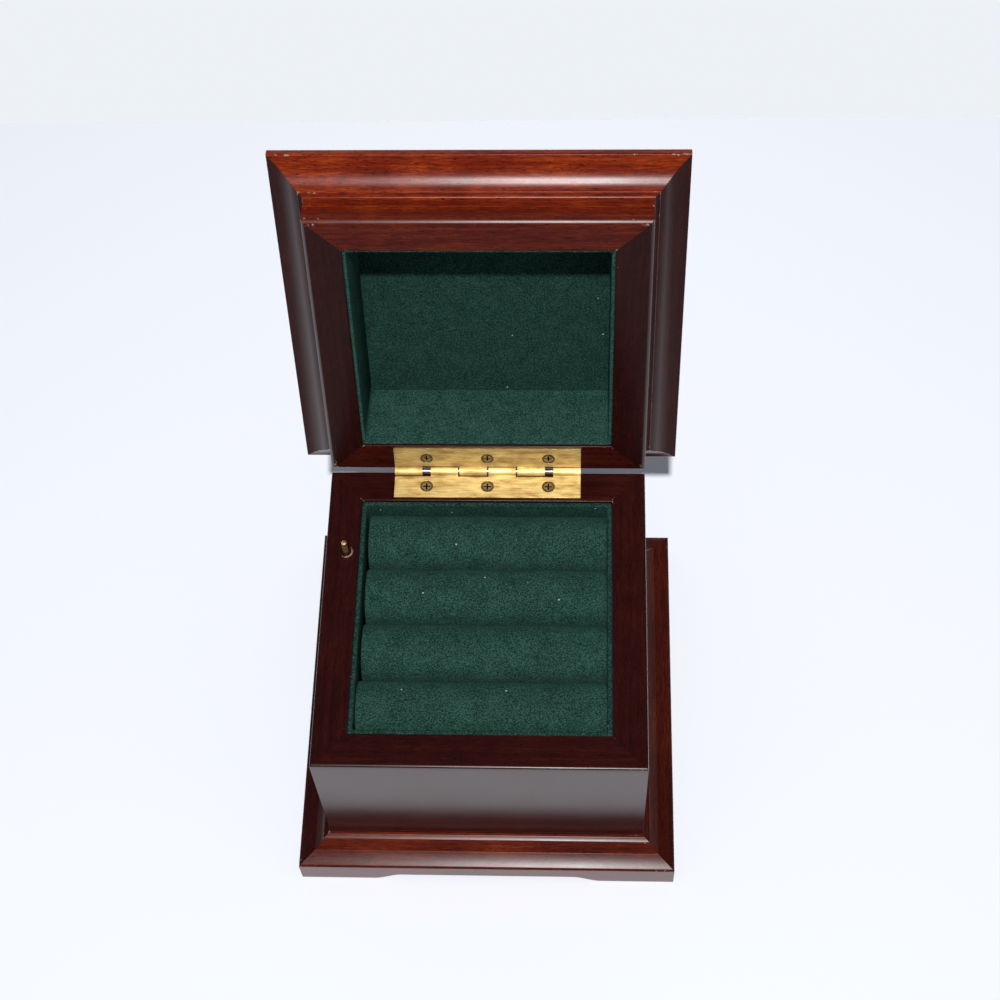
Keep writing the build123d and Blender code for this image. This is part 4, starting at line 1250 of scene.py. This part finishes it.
@dataclass(frozen=True)
class Studio:
    """The pale table and room, the photograph's camera, and the key lamp above and behind it.

    Angles are in degrees and the lamp's power is in watts.
    """

    focal_pixels: float = 1898.0
    pitch: float = 61.01
    yaw: float = -4.94
    roll: float = 4.0
    eye: tuple = (29.19 * MM, -249.94 * MM, 599.06 * MM)
    sensor_mm: float = 36.0
    picture_pixels: float = 1000.0
    clip_start: float = 0.01
    key_from: tuple = (0.0, 0.0, 60 * MM)
    key_towards: tuple = (0.0, -0.39, 0.921)
    key_distance: float = 2.5
    key_size: float = 0.08
    key_spread: float = 100.0
    key_aim: tuple = (20 * MM, 195 * MM, 0.0)
    key_power: float = 17.8
    ambient: float = 0.22
    room: str = "#f4f6ff"
    wall: str = "#edf1f5"
    ceiling: str = "#6c6e74"
    wall_top: float = 0.3
    ceiling_edge: float = 0.7
    table: str = "#f0f3fa"
    table_roughness: float = 0.6
    table_back: float = 0.2567
    table_slant: float = 0.00557
    table_reach: float = 1.0

    def camera(self) -> None:
        """Set up the camera from its pitch, yaw and roll in degrees and its focal length in pixels."""
        pitch, yaw, roll = (math.radians(a) for a in (self.pitch, self.yaw, self.roll))
        look = Vector((math.sin(yaw) * math.cos(pitch), math.cos(yaw) * math.cos(pitch), -math.sin(pitch)))
        right = Vector((math.cos(yaw), -math.sin(yaw), 0))
        down = look.cross(right)
        rolled_right = right * math.cos(roll) + down * math.sin(roll)
        up = right * math.sin(roll) - down * math.cos(roll)
        data = bpy.data.cameras.new("camera")
        data.sensor_width = self.sensor_mm
        data.lens = self.focal_pixels / self.picture_pixels * self.sensor_mm
        data.clip_start = self.clip_start
        camera = put("camera", data)
        rows = [[rolled_right[i], up[i], -look[i], self.eye[i]] for i in range(3)]
        camera.matrix_world = Matrix(rows + [[0, 0, 0, 1]])
        bpy.context.scene.camera = camera

    def lights(self) -> None:
        """Hang the key lamp, which casts the front rail's shadow in the lid's recess."""
        data = bpy.data.lights.new("key", "AREA")
        data.size = self.key_size
        data.spread = math.radians(self.key_spread)
        data.energy = self.key_power
        lamp = put("key", data)
        towards = Vector(self.key_towards).normalized()
        lamp.location = Vector(self.key_from) + towards * self.key_distance
        back = lamp.location - Vector(self.key_aim)
        lamp.rotation_euler = back.to_track_quat("Z", "Y").to_euler()

    def surroundings(self) -> None:
        """Lay the table and set the pale room.

        The room is brighter to the camera and in gloss or glass than as light on the box.
        """
        world = bpy.data.worlds.new("room")
        bpy.context.scene.world = world
        world.use_nodes = True
        tree = world.node_tree
        tree.nodes.clear()
        rays = add(tree, "LightPath").outputs
        seen = rays["Is Camera Ray"]
        for kind in ("Is Transmission Ray", "Is Glossy Ray"):
            seen = add(tree, "Math", (seen, rays[kind]), operation="MAXIMUM").outputs[0]
        direction = add(tree, "TexCoord").outputs["Generated"]
        height = add(tree, "SeparateXYZ", {"Vector": direction}).outputs["Z"]
        stops = [(self.wall_top, self.wall), (self.ceiling_edge, self.ceiling)]
        wall = add(tree, "ValToRGB", (height,), stops).outputs[0]
        faint = {"Color": srgb(self.room), "Strength": self.ambient}
        room = add(tree, "Background", faint).outputs[0]
        shown = add(tree, "Background", {"Color": wall, "Strength": 1.0}).outputs[0]
        both = add(tree, "MixShader", (seen, room, shown)).outputs[0]
        add(tree, "OutputWorld", {"Surface": both})

        reach = self.table_reach
        slant = reach * self.table_slant
        back = [(reach, self.table_back + slant, 0), (-reach, self.table_back - slant, 0)]
        mesh = bpy.data.meshes.new("table")
        mesh.from_pydata([(-reach, -reach, 0), (reach, -reach, 0), *back], [], [(0, 1, 2, 3)])
        table = put("table", mesh)
        material, _, shader = new_material("white_table_laminate")
        feed(shader, {"Base Color": srgb(self.table), "Roughness": self.table_roughness})
        dress(table, material)


def main() -> None:
    """Build and dress every piece in order."""
    bpy.context.scene.view_settings.view_transform = "Standard"
    logging.basicConfig(level=logging.INFO, format="%(message)s")
    wood = Mahogany().build()
    for piece in Woodwork().build(wood) + [PinHole().build(wood)]:
        LOG.info("wood: %s", piece.name)
    flock = Flock("green_rayon_flock_on_card").build()
    # Painted light: the lid walls get a paler copy of the card's flock, for the light that falls on them
    walls_flock = Flock("green_rayon_flock_painted_lighter", shade="#142a25", tip="#3a6056").build()
    velvet = Flock("green_flocked_cloth_on_foam", shade="#132823", tip="#34574d").build()
    for piece in RingRolls().build(velvet) + Linings().build(flock, walls_flock):
        LOG.info("soft: %s", piece.name)
    for piece in Fittings().build():
        LOG.info("fitting: %s", piece.name)
    studio = Studio()
    studio.camera()
    studio.lights()
    studio.surroundings()


if __name__ == "__main__":
    main()
